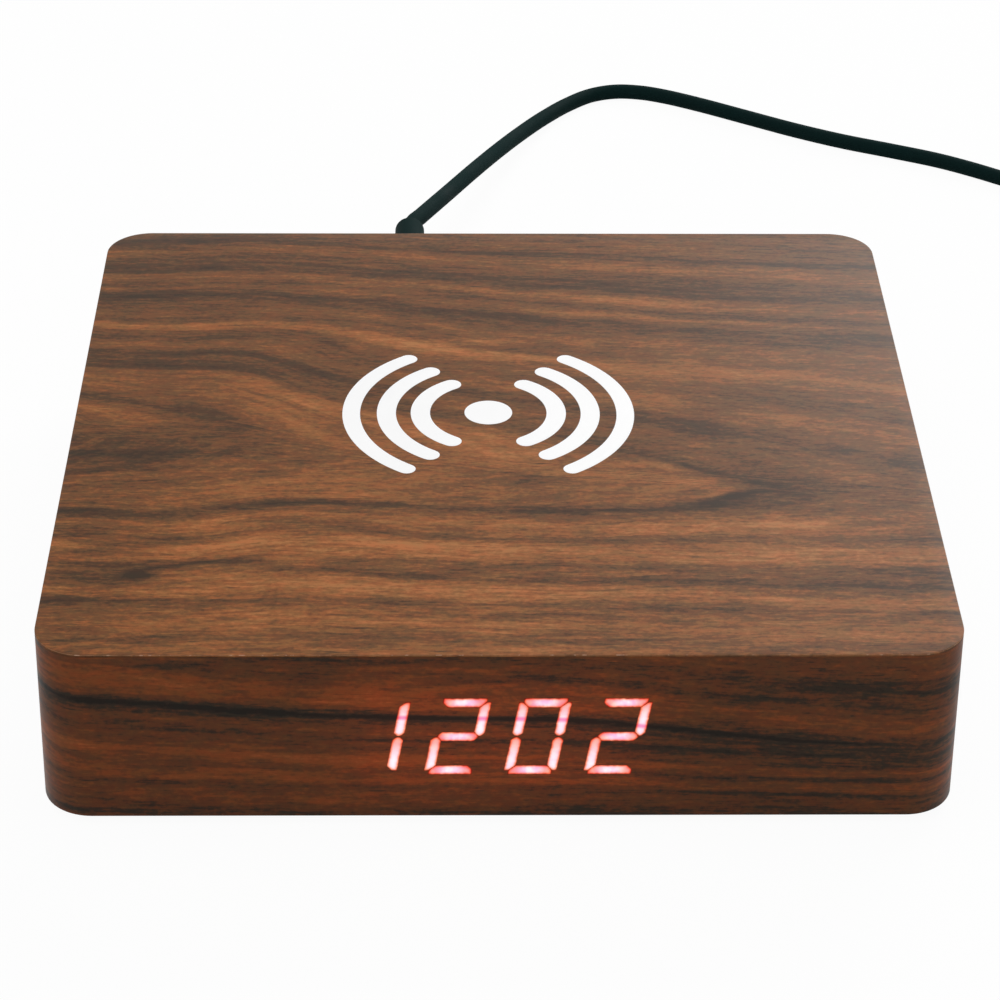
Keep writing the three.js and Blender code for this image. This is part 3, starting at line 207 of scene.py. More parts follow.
class Graph:
    """Short ways to build the nodes of one material, or of the world."""

    def __init__(self, name, kind=bpy.data.materials):
        self.owner = kind.new(name)
        self.owner.use_nodes = True
        self.tree = self.owner.node_tree

    def feed(self, socket, value):
        if isinstance(value, bpy.types.NodeSocket):
            self.tree.links.new(value, socket)
        else:
            socket.default_value = value

    def add(self, kind, inputs=(), output=0, **settings):
        node = self.tree.nodes.new(kind)
        for name, value in settings.items():
            setattr(node, name, value)
        for key, value in dict(inputs).items():
            self.feed(node.inputs[key], value)
        return node.outputs[output]

    def sockets(self, **values):
        """Sets or links the Principled sockets, named in lower case with underscores."""
        shader = self.tree.nodes["Principled BSDF"]
        names = {socket.name.lower().replace(" ", "_"): socket for socket in shader.inputs}
        for name, value in values.items():
            self.feed(names[name], value)
        return self.owner

    def math(self, operation, a, b=0.0, c=0.0):
        return self.add("ShaderNodeMath", {0: a, 1: b, 2: c}, operation=operation)

    def times(self, a, b):
        return self.math("MULTIPLY", a, b)

    def plus(self, a, b):
        return self.math("ADD", a, b)

    def minus(self, a, b):
        return self.math("SUBTRACT", a, b)

    def object_point(self):
        return self.add("ShaderNodeTexCoord", output=3)

    def attribute(self, name):
        return self.add("ShaderNodeAttribute", output=1, attribute_name=name)

    def split(self, vector):
        node = self.add("ShaderNodeSeparateXYZ", {0: vector}).node
        return node.outputs[0], node.outputs[1], node.outputs[2]

    def point(self, x, y, z=0.0):
        return self.add("ShaderNodeCombineXYZ", {0: x, 1: y, 2: z})

    def noise(self, vector, scale, detail=3.0, roughness=0.5, distortion=0.0):
        names = ("Vector", "Scale", "Detail", "Roughness", "Distortion")
        values = (vector, scale, detail, roughness, distortion)
        return self.add("ShaderNodeTexNoise", zip(names, values))

    def swing(self, value, amount):
        """A value from 0 to 1, such as a noise, taken to a range from -amount to amount."""
        return self.math("MULTIPLY_ADD", value, 2 * amount, -amount)

    def span(self, value, low, high, to_low=0.0, to_high=1.0, smooth=False):
        inputs = {"Value": value, 1: low, 2: high, 3: to_low, 4: to_high}
        kind = "SMOOTHSTEP" if smooth else "LINEAR"
        return self.add("ShaderNodeMapRange", inputs, interpolation_type=kind)

    def spread(self, noise, to_low=0.0, to_high=1.0):
        """A noise, which mostly lies between 0.3 and 0.7, taken to other bounds."""
        return self.span(noise, 0.3, 0.7, to_low, to_high)

    def ramp(self, factor, stops, interpolation="EASE"):
        """A colour or tone by a value from 0 to 1, through (position, colour) stops."""
        output = self.add("ShaderNodeValToRGB", {0: factor})
        ramp = output.node.color_ramp
        ramp.interpolation = interpolation
        while len(ramp.elements) < len(stops):
            ramp.elements.new(1.0)
        for element, (position, colour) in zip(ramp.elements, stops):
            element.position = position
            element.color = (*colour, 1) if hasattr(colour, "__len__") else (*(colour,) * 3, 1)
        return output

    def mix(self, factor, a, b, blend="MIX"):
        node = self.add("ShaderNodeMix", output=2, data_type="RGBA", blend_type=blend).node
        for key, value in ((0, factor), (6, a), (7, b)):
            if key and not isinstance(value, bpy.types.NodeSocket):
                value = (*value, 1)
            self.feed(node.inputs[key], value)
        return node.outputs[2]

    def bump(self, height, strength, distance):
        inputs = {"Strength": strength, "Distance": distance, "Height": height}
        return self.add("ShaderNodeBump", inputs)


def shades(colour, spread):
    """A darker and a lighter shade about a colour."""
    return tuple(c * (1 - spread) for c in colour), tuple(c * (1 + spread) for c in colour)


def moulded(name, colour, roughness, grain_mm=0.35, spread=0.15, relief=0.12, **sockets):
    """Moulded plastic, rubber or paint: a fine even texture in colour, gloss and relief."""
    g = Graph(name)
    where = g.object_point()
    fine = g.noise(where, 1 / (grain_mm * MM), 4.0, 0.6)
    broad = g.noise(where, 1 / (14 * MM), 2.0)
    dark, light = shades(colour, spread)
    blend = g.plus(g.times(fine, 0.5), g.times(broad, 0.5))
    return g.sockets(
        base_color=g.mix(g.spread(blend), dark, light),
        roughness=g.spread(broad, roughness * 0.88, min(1.0, roughness * 1.12)),
        normal=g.bump(fine, relief, 0.1 * MM),
        **sockets,
    )


def metal(name, colour, roughness, brushed=(1, 1, 30)):
    """Plated or turned metal with fine tool marks across one direction."""
    g = Graph(name)
    where = g.add("ShaderNodeMapping", {"Vector": g.object_point(), "Scale": brushed})
    marks = g.noise(where, 1 / (4 * MM), 5.0, 0.65)
    tarnish = g.noise(g.object_point(), 1 / (3 * MM), 3.0)
    dark, light = shades(colour, 0.12)
    return g.sockets(
        base_color=g.mix(tarnish, dark, light),
        metallic=1.0,
        roughness=g.span(marks, 0.25, 0.75, roughness * 0.7, roughness * 1.3),
        normal=g.bump(marks, 0.08, 0.05 * MM),
    )


def fibreboard():
    """Milled medium-density board: pale brown with short pressed fibres."""
    g = Graph("fibreboard")
    where = g.object_point()
    fibres = g.noise(where, 1 / (0.5 * MM), 6.0, 0.75, 1.5)
    broad = g.noise(where, 1 / (9 * MM), 3.0)
    colour = g.ramp(
        g.plus(g.times(fibres, 0.7), g.times(broad, 0.3)),
        [(0.3, (0.2, 0.12, 0.06)), (0.5, (0.34, 0.22, 0.11)), (0.68, (0.5, 0.34, 0.19))],
    )
    return g.sockets(
        base_color=colour,
        roughness=g.spread(fibres, 0.95, 0.8),
        normal=g.bump(fibres, 0.35, 0.15 * MM),
    )


def circuit_board():
    """Green solder mask over a mesh of copper tracks."""
    g = Graph("green_board")
    where = g.object_point()
    tracks = g.add("ShaderNodeTexBrick", {
        "Vector": where,
        "Color1": (0.012, 0.09, 0.035, 1),
        "Color2": (0.015, 0.11, 0.045, 1),
        "Mortar": (0.03, 0.17, 0.07, 1),
        "Scale": 1 / (9 * MM),
        "Mortar Size": 0.03,
    })
    cloud = g.noise(where, 1 / (2 * MM), 4.0)
    return g.sockets(
        base_color=g.mix(g.times(cloud, 0.4), tracks, (0.01, 0.06, 0.025)),
        roughness=g.spread(cloud, 0.25, 0.4),
        normal=g.bump(cloud, 0.06, 0.05 * MM),
    )


def enamelled_copper():
    """Stranded, enamelled winding wire."""
    g = Graph("copper")
    where = g.object_point()
    strands = g.noise(where, 1 / (0.3 * MM), 3.0, 0.6)
    broad = g.noise(where, 1 / (6 * MM), 2.0)
    return g.sockets(
        base_color=g.mix(g.plus(g.times(strands, 0.6), g.times(broad, 0.4)),
                         (0.28, 0.09, 0.03), (0.55, 0.22, 0.09)),
        metallic=0.85,
        roughness=g.spread(strands, 0.28, 0.45),
        normal=g.bump(strands, 0.25, 0.1 * MM),
    )


# Walnut-look film

WALNUT_TONES = [
    (0.00, (0.046, 0.028, 0.018)),
    (0.22, (0.076, 0.040, 0.022)),
    (0.50, (0.160, 0.069, 0.030)),
    (0.72, (0.270, 0.104, 0.038)),
    (1.00, (0.420, 0.160, 0.058)),
]
SIDE_TONES = [
    (0.00, (0.024, 0.018, 0.014)),
    (0.22, (0.046, 0.031, 0.021)),
    (0.50, (0.150, 0.054, 0.023)),
    (0.72, (0.255, 0.075, 0.024)),
    (1.00, (0.400, 0.110, 0.034)),
]
# Tones of the growth rings, from -1 to 1, by their distance in mm from the heart line, behind it
# and in front of it
RINGS_BEHIND = (
    (0, 0.1), (6, 0.1), (8.5, 0.4), (10.8, 0.0), (12.7, -0.45), (14.8, 0.1), (17, 0.35),
    (19.5, 0.5), (21.4, 0.3),
    (23.6, -0.45), (25, -0.25), (26.3, -0.2), (28.2, -0.55), (31.4, 0.25), (34, -0.25),
    (36, 0.0), (38.7, 0.65), (40.6, -0.05), (44.5, 0.15), (46, -0.1), (50, -0.45), (52.5, 0.25),
    (54.3, -0.2), (56.8, 0.5), (59.9, -0.6), (61.5, -0.35), (64, -0.05), (68, 0.45),
    (69.5, 0.2), (71.7, -0.45), (74, 0.1),
)
RINGS_BEFORE = (
    (0, -0.1), (5, -0.2), (8, -0.1), (10.8, -0.1), (13, -0.4), (15, 0.0), (20.3, 0.35),
    (22.2, 0.1), (23.6, -0.95), (25, -0.15), (26.8, 0.4), (28.6, 0.1), (30.3, -0.45), (31.3, 0.0),
    (33.2, 0.5), (35.5, 0.25), (37.5, -0.45), (39.2, -0.05), (40.9, -0.5), (43, 0.15),
    (44.6, 0.4), (46.4, 0.1), (47.9, -0.45), (49.4, -0.1), (53, 0.3), (55.2, 0.1), (57.5, -0.3),
    (60, 0.1), (62, 0.2),
)
# How far five bands of the rings are lifted towards the rear, in mm by place across the top, and
# where from front to rear each band gives way to the next
LIFT_LIP = ((-75, 0), (-55, -0.4), (-32, 0.6), (0, -0.6), (30, -1.4), (75, -2.6))
LIFT_FRONT = (
    (-75, 0), (-55, -1.2), (-41, 1.6), (-32, 2.6), (-17, 1.0), (0, -0.4), (30, 0), (75, 0),
)
LIFT_HEART = (
    (-75, 0), (-57, 2.4), (-47, 4.2), (-37, 1.7), (-29, -1.7), (-20, -3), (0, -3), (75, -3),
)
LIFT_REAR = (
    (-75, 0), (-57, 1.4), (-45, 4.1), (-33, 3.9), (-17, 1.4), (-5, -0.4), (12, -2), (32, -3.1),
    (75, -3),
)
LIFT_EDGE = (
    (-75, 0), (-57, 2.8), (-45, 3.8), (-33, 3.7), (-17, 2.8), (0, 1.4), (24, 0.8), (48, -0.2),
    (75, -0.5),
)
LIFT_BLENDS = ((-58, -42), (-22, 2), (20, 34), (34, 55))
LIFT_MOST = 6  # mm, past the largest lift
# Marks on the top by place, reach along and across in mm, slope and tone: smears and pale spots by
# the heart line, a knot and its tail, the arrow at the end of the innermost ring, pale streaks
MARKS = (
    (-62, -11.3, 20, 1.5, 0, -0.5), (-67, 5.5, 7, 2.6, 0, 0.4), (-35, 6, 6, 6, 0, 0.3),
    (-58.6, -50.2, 2.4, 1.1, 0, -1.7), (-63, -53, 6, 3.5, 0, -0.4), (-54, -47.6, 5, 0.7, 0.25, -0.7),
    (-46, -46.3, 8, 0.8, 0, -0.5), (-44, -38, 9, 4, 0, 0.35), (-70, -36, 7, 1.5, 0, -0.5),
    (-65, -43, 5, 1.6, 0, -0.6), (-70, -57.5, 8, 1.4, 0, -0.5), (33, -15.6, 11, 0.9, -0.47, -0.45),
    (47, -21.4, 5, 0.8, -0.15, -0.35), (37, -22, 7, 2.2, -0.1, 0.4), (40.5, -25.4, 5, 0.7, 0.42, -0.5),
    (37, -28.3, 5, 1.1, 0.05, -0.35), (24, -27.8, 10, 1.8, 0.1, 0.95), (37.5, -24.6, 4, 1, 0.4, 0.45),
    (22, -30.3, 13, 0.7, 0, -0.5), (24, -36.8, 20, 1.6, 0, 0.35), (-5, -41, 14, 1.1, 0, 0.6),
    (-30, -43.8, 16, 1.4, 0, 0.5), (-47, -50.5, 9, 2.2, 0.05, 0.5), (-12, -60.6, 42, 1.3, 0, 0.38),
    (18, -69.8, 14, 2, 0, 0.3), (45, -65.8, 9, 1.2, 0, 0.35), (42, 16.5, 14, 2.5, 0, 0.4),
    (-4, 29, 9, 1.4, 0, 0.45), (-44, 13.2, 8, 1.4, 0, 0.35), (2, -18, 16, 6, 0, -0.2),
    (-68, -12, 12, 16, 0, -0.2), (-16, 40, 8, 20, 0, -0.08), (66, 64, 12, 14, 0, -0.14),
    (-45, 68, 34, 10, 0, -0.2), (-40, -50, 16, 18, 0, 0.2),
)
RING_CONTRAST = 0.8
RIM_HIGHLIGHT_TONE = (0.56, 0.29, 0.16)  # a painted highlight along the film's rounded edge
RIM_SPOT_TONE = (0.78, 0.5, 0.35)  # of small lighter spots in that painted highlight
LEFT_SHEEN_TINT = (1.01, 0.99, 0.94)  # a painted sheen, which makes the film a little lighter and bluer towards its right side
RIGHT_SHEEN_TINT = (1.04, 1.12, 1.22)
RUDDY = (1.06, 0.95, 0.96)
OLIVE = (0.92, 1.02, 1.04)
FILM_GLOSS = 0.06
RING_REACH = 80  # mm from the heart line to the outermost ring
RING_WAVES = ((40, 18, 0.8), (14, 7, 0.7))  # reach along and across and amount, in mm
HEART_START = 3  # mm that the heart line lies before the middle at the left edge
HEART_DRIFT = 23  # mm that it comes forwards from there to the right edge
HEART_BLEND = 3  # mm to either side of it where the two tables meet
FRONT_SCALE = 0.87  # of distances before it
HEART_DEPTH = 25.7  # mm that it lies under the film at the right edge
DEPTH_POWER = 0.42  # of the way from left to right, for the depth
# Tones of the streaks of the side film by their height in mm at its left end
STREAKS = (
    (1.5, -0.2), (3, -0.4), (4.5, -0.15), (6.7, 0.1), (8.2, 0.0), (9.3, -0.2), (11, 0.35),
    (12.4, 0.2), (13.8, -0.15), (15, 0.25), (16.2, 0.5), (17.4, 0.0), (19, -0.05), (20.6, -0.35),
    (22, -0.1), (23.8, -0.4), (24.7, -1.15), (25.6, -0.3), (26.7, 0.15), (28, 0.28), (29.3, 0.25),
    (30.7, 0.12), (32, -0.25), (33.6, 0.0), (35.5, -0.35), (36.7, -0.1), (38, 0.35), (40, 0.1),
    (42, 0.4),
)
STREAK_REACH = 43  # mm, past the uppermost streak
STREAK_FALL = 10.6  # mm that the streaks come down from left to right
STREAK_BENDS = ((11, 21, -1.55), (-33, 22, 0.55))  # place, reach and further fall in mm
# Marks on the front by place, reach along and up in mm, and tone
SIDE_MARKS = (
    (-18, 27.5, 11, 3, 0.32), (-40, 24, 10, 3.5, -0.22), (-38, 31, 12, 1.2, -0.25),
    (-56, 9.8, 8, 2, -0.25), (46, 3.2, 8, 1.6, -0.25), (-4, 3.2, 6, 1.4, 0.22),
)


def tones(g, distance, table, reach):
    """The tone, from -1 to 1, at a distance in mm, by a table of (distance, tone)."""
    stops = [(spot / reach, (tone + 1) / 2) for spot, tone in table]
    return g.swing(g.ramp(g.math("DIVIDE", distance, reach), stops), 1)


def lifted(g, x, y):
    """How far the rings are lifted at a place, in mm."""
    total = 0.0
    blends = [1.0] + [g.span(y, low, high, smooth=True) for low, high in LIFT_BLENDS]
    bands = (LIFT_LIP, LIFT_FRONT, LIFT_HEART, LIFT_REAR, LIFT_EDGE)
    for table, blend in zip(bands, blends):
        first, last = table[0][0], table[-1][0]
        stops = [((spot - first) / (last - first), (amount / LIFT_MOST + 1) / 2)
                 for spot, amount in table]
        curve = g.ramp(g.span(x, first, last), stops, "CARDINAL")
        lift = g.swing(curve, LIFT_MOST)
        total = g.plus(total, g.times(g.minus(lift, total), blend))
    return total


def grain(g, along, ring, across, ring_tone, palette, strength):
    """The film's colour and pores, from mm along the grain, over the rings and straight across."""
    def layer(lengthwise, crosswise, over=across, detail=3.0, roughness=0.6, level=0.37):
        where = g.point(g.times(along, 1 / lengthwise), g.times(over, 1 / crosswise), level)
        return g.noise(where, 1.0, detail, roughness)

    fade = layer(45, 4, ring, 2.0)
    fine = layer(2.2, 0.2)
    pores = g.span(layer(5, 0.3, detail=1.0, level=7.29), 0.64, 0.78, smooth=True)
    tone = g.times(ring_tone, g.spread(fade, 0.4, 1.2))
    texture = g.times(pores, -0.4)
    for noise, amount in (
        (layer(30, 2.2, ring), 0.38),
        (layer(25, 7, ring, level=5.43), 0.25),
        (layer(9, 0.8, ring), 0.5),
        (layer(5, 0.7), 0.45),
        (layer(1.1, 0.6, roughness=0.65, level=3.71), 0.52),
        (fine, 0.12),
    ):
        texture = g.plus(texture, g.swing(noise, amount))
    tone = g.times(g.plus(tone, g.times(texture, strength)), 1.25)
    colour = g.ramp(g.math("MULTIPLY_ADD", tone, 0.5, 0.5), palette)
    cast = g.span(layer(3, 1.2, detail=4.0, level=11.63), 0.38, 0.62)
    return g.mix(1.0, colour, g.mix(cast, RUDDY, OLIVE), "MULTIPLY"), fine, pores


def film_finish(g, colour, fine, pores, **sockets):
    height = g.plus(g.times(fine, 0.6), g.times(pores, -0.8))
    return g.sockets(
        base_color=colour,
        roughness=g.spread(fine, 0.38, 0.45),
        specular_ior_level=FILM_GLOSS,
        normal=g.bump(height, 0.12, 0.06 * MM),
        **sockets,
    )


def top_film_finish():
    """Flat-sawn walnut: rings nested round a heart line that drifts forwards to the right."""
    g = Graph("walnut_top")
    x, y, z = g.split(g.add("ShaderNodeVectorMath", {0: g.object_point(), 1: (1000,) * 3},
                            operation="MULTIPLY"))
    for lengthwise, crosswise, amount in RING_WAVES:
        where = g.point(g.times(x, 1 / lengthwise), g.times(y, 1 / crosswise))
        y = g.plus(y, g.swing(g.noise(where, 1.0, 2.0), amount))
    half = CASE_HALF / MM
    bent = g.minus(y, lifted(g, x, y))
    drift = g.span(x, -half, half, 0.0, HEART_DRIFT)
    near = g.math("MULTIPLY_ADD", bell(g, bent, -20, 35), 0.8, 0.2)
    offset = g.plus(g.plus(bent, HEART_START), g.times(drift, near))
    behind = g.span(offset, -HEART_BLEND, HEART_BLEND, smooth=True)
    scale = g.span(offset, -HEART_BLEND, HEART_BLEND, FRONT_SCALE, 1.0, smooth=True)
    scaled = g.times(offset, scale)
    depth = g.times(g.math("POWER", g.span(x, -half, half), DEPTH_POWER), HEART_DEPTH)
    ring = g.math("SQRT", g.plus(g.times(scaled, scaled), g.times(depth, depth)))
    tone_behind = tones(g, ring, RINGS_BEHIND, RING_REACH)
    tone_before = tones(g, ring, RINGS_BEFORE, RING_REACH)
    before = g.minus(1.0, behind)
    tone = g.plus(g.times(behind, tone_behind), g.times(before, tone_before))
    tone = g.times(tone, RING_CONTRAST)
    for spot_x, spot_y, length, width, slope, amount in MARKS:
        level = g.math("MULTIPLY_ADD", x, -slope, slope * spot_x)
        across = bell(g, g.plus(y, level), spot_y, width)
        mark = g.times(bell(g, x, spot_x, length), across)
        tone = g.plus(tone, g.times(mark, amount))
    tone = g.plus(tone, g.span(y, -half, half, 0.08, -0.22))
    paler = g.plus(g.span(x, -60, -20, 0.0, 0.16), g.span(x, 52, 70, 0.0, -0.12))
    tone = g.plus(tone, g.times(paler, g.span(y, 20, 55, 1.0, 0.3)))
    strength = g.span(y, -40, 10, 1.15, 0.95)
    ring = g.times(ring, g.swing(behind, 1))
    colour, fine, pores = grain(g, x, ring, y, tone, WALNUT_TONES, strength)
    # A painted highlight along the rounded upper edge, uneven along it, with small lighter spots in
    # it.
    rim = bell(g, z, (CASE_TOP - 0.6 * TOP_EDGE) / MM, 0.25 * TOP_EDGE / MM)
    rim_highlight = g.times(rim, g.span(g.noise(g.point(x, 0), 0.6, 3.0), 0.35, 0.6, 0.25, 0.8))
    rim_spots = g.span(g.noise(g.point(x, 7), 0.9, 2.0), 0.6, 0.68)
    # A painted sheen: the colour turns lighter and bluer from left to right.
    painted_sheen = g.mix(g.span(x, -60, 45), LEFT_SHEEN_TINT, RIGHT_SHEEN_TINT)
    colour = g.mix(1.0, colour, painted_sheen, "MULTIPLY")
    colour = g.mix(rim_highlight, colour, RIM_HIGHLIGHT_TONE)
    return film_finish(g, g.mix(g.times(rim, rim_spots), colour, RIM_SPOT_TONE), fine, pores)


def bell(g, value, middle, width):
    """1 where a value is at the middle, falling to nothing some widths away."""
    away = g.math("DIVIDE", g.minus(value, middle), width)
    return g.math("EXPONENT", g.times(g.times(away, away), -1))


def side_film_finish():
    """Streaked walnut that runs round the case, warmed where the display shines through."""
    g = Graph("walnut_side")
    along, height, _ = g.split(g.attribute("grain"))
    level = streak_level(g, along, height)
    ring_tone = g.times(tones(g, level, STREAKS, STREAK_REACH), 0.88)
    ring_tone = g.plus(ring_tone, g.span(along, -20, 60, 0.1, -0.2))
    for spot, rise, reach, width, amount in SIDE_MARKS:
        mark = g.times(bell(g, along, spot, reach), bell(g, height, rise, width))
        ring_tone = g.plus(ring_tone, g.times(mark, amount))
    colour, fine, pores = grain(g, along, level, height, ring_tone, SIDE_TONES, 0.85)
    glow = g.mix(1.0, colour, GLOW_TINT, "MULTIPLY")
    return film_finish(g, colour, fine, pores, emission_color=glow,
                       emission_strength=display_glow(g))


def streak_level(g, along, height):
    """The height in mm that a streak has at the left end of the front."""
    half = CASE_HALF / MM
    warp = g.noise(g.point(g.times(along, 0.03), g.times(height, 0.08)), 1.0, 2.0)
    fall = g.span(along, -half, half, 0.0, STREAK_FALL)
    for spot, reach, amount in STREAK_BENDS:
        fall = g.plus(fall, g.times(bell(g, along, spot, reach), amount))
    fall = g.times(fall, g.span(height, 3, 16, 0.3, 1.0))
    return g.plus(g.plus(height, fall), g.swing(warp, 0.6))


def streak_tone(g, along, height):
    return tones(g, streak_level(g, along, height), STREAKS, STREAK_REACH)


def display_glow(g):
    """Light that spreads in the film round the lit digits, by place on the front."""
    x, y, z = g.split(g.object_point())
    across = g.math("ABSOLUTE", g.minus(x, DISPLAY_X))
    over = g.math("ABSOLUTE", g.minus(z, DISPLAY_Z))
    near = g.times(
        g.span(across, DISPLAY_HALF_WIDTH - GLOW_SPREAD, DISPLAY_HALF_WIDTH + GLOW_SPREAD, 1, 0,
               smooth=True),
        g.span(over, DIGIT_HEIGHT / 4, DIGIT_HEIGHT / 2 + GLOW_SPREAD, 1, 0, smooth=True),
    )
    front = g.math("LESS_THAN", y, -CASE_HALF + FILM / 2)
    return g.times(g.times(near, front), GLOW_STRENGTH)


# Display: sizes of the lit segments, as in the light wells behind the film
REFLECTOR_LOW, REFLECTOR_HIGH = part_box("digit_reflector")
DISPLAY_X = (REFLECTOR_LOW.x + REFLECTOR_HIGH.x) / 2
DISPLAY_Z = (REFLECTOR_LOW.z + REFLECTOR_HIGH.z) / 2
DIGIT_PITCH = 12.7 * MM
DIGIT_HEIGHT = 14.2 * MM
DIGIT_WIDTH = 8 * MM
STROKE = 1.35 * MM
SEGMENT_GAP = 0.2 * MM  # of the light; its wells stand a little further apart
DIGIT_SLANT = math.tan(math.radians(10))
MIDDLE_GAP = 0.7 * MM  # between an upper and a lower upright bar
TIP_BLUNT = 0.55 * MM
MIDDLE_BLUNT = 0.4 * MM
DISPLAY_HALF_WIDTH = 23 * MM
GLOW_SPREAD = 9 * MM
GLOW_STRENGTH = 0.3
SHOWN = ("bc", "abged", "abcdef", "abged")  # lit segments of 1, 2, 0 and 2
LIGHT_RELIEF = 0.02 * MM
LIGHT_TONES = (  # from the rim of the light inwards
    (0.0, (0.17, 0.035, 0.015)),
    (0.1, (0.42, 0.06, 0.026)),
    (0.2, (0.92, 0.22, 0.11)),
    (0.3, (1.0, 0.40, 0.24)),
    (0.46, (1.0, 0.64, 0.62)),
    (0.64, (1.0, 0.84, 0.9)),
    (1.0, (1.0, 0.94, 0.99)),
)
PINK_TINT = (0.97, 0.62, 0.85)
WARM_TINT = (0.97, 0.42, 0.27)
STREAK_TINT = (0.95, 0.3, 0.56)
UNLIT_RED = (0.02, 0.004, 0.003, 1)
GLOW_TINT = (1.0, 0.25, 0.1)
LIGHT_SPREAD = 0.2 * MM  # of the light in the film, past its segment
HALF_STROKE = STROKE / 2


# An end of a bar along +X: its corners from its inner to its outer side, which is longer where
# mitred, where its slanted sides would meet the bar's middle line, and whether it has two of them.


def mitred_end(tip):
    end = tip - TIP_BLUNT
    corners = [(tip - STROKE, -HALF_STROKE), (end, HALF_STROKE - TIP_BLUNT), (end, HALF_STROKE)]
    return corners, tip - HALF_STROKE, 0


def pointed_end(tip):
    start = tip - HALF_STROKE
    return [(start, -HALF_STROKE), (tip, 0), (start, HALF_STROKE)], tip, 1


def blunt_end(tip):
    side, start = HALF_STROKE - MIDDLE_BLUNT, tip - MIDDLE_BLUNT
    corners = [(start, -HALF_STROKE), (tip, -side), (tip, side), (start, HALF_STROKE)]
    return corners, tip + side, 1


def segment_frames():
    """By name: middle in X and Z, turn of the outer side from upwards, and the two ends."""
    across = DIGIT_WIDTH / 2 - HALF_STROKE
    over = DIGIT_HEIGHT / 2 - HALF_STROKE
    setback = SEGMENT_GAP / math.sqrt(2)
    level = mitred_end(DIGIT_WIDTH / 2 - setback)
    point = pointed_end(across - setback)
    low, high = MIDDLE_GAP / 2, DIGIT_HEIGHT / 2 - setback
    corner, middle = mitred_end((high - low) / 2), blunt_end((high - low) / 2)
    z = (low + high) / 2
    return {
        "a": (0, over, 0, level, level),
        "g": (0, 0, 0, point, point),
        "d": (0, -over, 180, level, level),
        "f": (-across, z, 90, middle, corner),
        "b": (across, z, -90, corner, middle),
        "e": (-across, -z, 90, corner, middle),
        "c": (across, -z, -90, middle, corner),
    }


def widened(corners, distance):
    """A convex outline, counter-clockwise, with every side moved outwards."""
    lines = []
    for (x0, y0), (x1, y1) in zip(corners, corners[1:] + corners[:1]):
        length = math.hypot(x1 - x0, y1 - y0)
        normal = ((y1 - y0) / length, -(x1 - x0) / length)
        lines.append((*normal, normal[0] * x0 + normal[1] * y0 + distance))
    points = []
    for (a, b, c), (d, e, f) in zip(lines[-1:] + lines[:-1], lines):
        cross = a * e - b * d
        points.append(((c * e - b * f) / cross, (a * f - c * d) / cross))
    return points


def lit_segments():
    """All lit segments: thin plates that carry their own lengthwise and crosswise measures."""
    vertices, faces, bars, styles = [], [], [], []
    frames = segment_frames()
    for digit, names in enumerate(SHOWN):
        digit_x = DISPLAY_X + (digit - (len(SHOWN) - 1) / 2) * DIGIT_PITCH
        for name in names:
            x, z, turn, (first, first_reach, first_style), (second, reach, style) = frames[name]
            corners = second + [(-along, across) for along, across in reversed(first)]
            cos, sin = math.cos(math.radians(turn)), math.sin(math.radians(turn))
            start = len(vertices)
            for along, across in widened(corners, LIGHT_SPREAD):
                place_x = x + along * cos - across * sin
                place_z = z + along * sin + across * cos
                place_x += digit_x + place_z * DIGIT_SLANT
                depth = -CASE_HALF - LIGHT_RELIEF
                vertices.append(Vector((place_x, depth, DISPLAY_Z + place_z)))
                bars.extend((across / MM, (-along - first_reach) / MM, (along - reach) / MM))
                styles.extend((first_style, style, 0))
            faces.append(tuple(range(start, len(vertices))))
    made = piece("lit_segments", (vertices, faces), lit_finish())
    write_vectors(made, "bar", "POINT", bars)
    write_vectors(made, "style", "POINT", styles)
    return made


def lit_finish():
    """Red light through the film: a dark rim, an orange edge and a pale pink core."""
    g = Graph("lit_display")
    across, first, second = g.split(g.attribute("bar"))
    first_style, second_style, _ = g.split(g.attribute("style"))
    beside = g.math("ABSOLUTE", across)
    edge = g.minus(beside, HALF_STROKE / MM)
    for reach, style in ((first, first_style), (second, second_style)):
        rise = g.minus(g.times(style, g.plus(beside, across)), across)
        slanted = g.times(g.plus(reach, rise), math.sqrt(0.5))
        cap = g.plus(reach, g.math("MULTIPLY_ADD", style, 0.25, -0.06))
        edge = g.math("SMOOTH_MAX", g.math("SMOOTH_MAX", edge, slanted, 0.3), cap, 0.45)
    x, _, z = g.split(g.object_point())
    veil = g.noise(g.object_point(), 1 / (0.9 * MM), 3.0)
    dark = g.span(streak_tone(g, g.times(x, 1 / MM), g.times(z, 1 / MM)), -0.5, -1.0)
    edge = g.plus(edge, g.swing(veil, 0.16))
    end = g.math("MAXIMUM", first, second)
    ends = g.span(end, -2.5, -0.4, smooth=True)
    upright = g.math("ABSOLUTE", g.minus(first_style, second_style))
    climb = g.math("FLOORED_MODULO", g.minus(z, DISPLAY_Z), DIGIT_HEIGHT / 2)
    upper_end = g.span(climb, 0.4 * DIGIT_HEIGHT / 2, 0.95 * DIGIT_HEIGHT / 2, smooth=True)
    patches = g.span(g.noise(g.object_point(), 1 / (1.8 * MM), 2.0), 0.34, 0.6)
    level = g.minus(1.0, g.times(upright, 0.6))
    core = g.ramp(g.span(edge, 0.24, -0.6), LIGHT_TONES, "LINEAR")
    pink = g.mix(g.times(patches, level), core, PINK_TINT, "MULTIPLY")
    warmth = g.plus(g.times(upper_end, upright), g.times(ends, g.minus(1.0, upright)))
    warm = g.mix(g.times(warmth, 0.85), pink, WARM_TINT, "MULTIPLY")
    colour = g.mix(g.times(dark, 0.95), warm, STREAK_TINT, "MULTIPLY")
    return g.sockets(
        base_color=UNLIT_RED,
        roughness=g.spread(veil, 0.45, 0.6),
        specular_ior_level=FILM_GLOSS,
        emission_color=colour,
        emission_strength=1.0,
    )


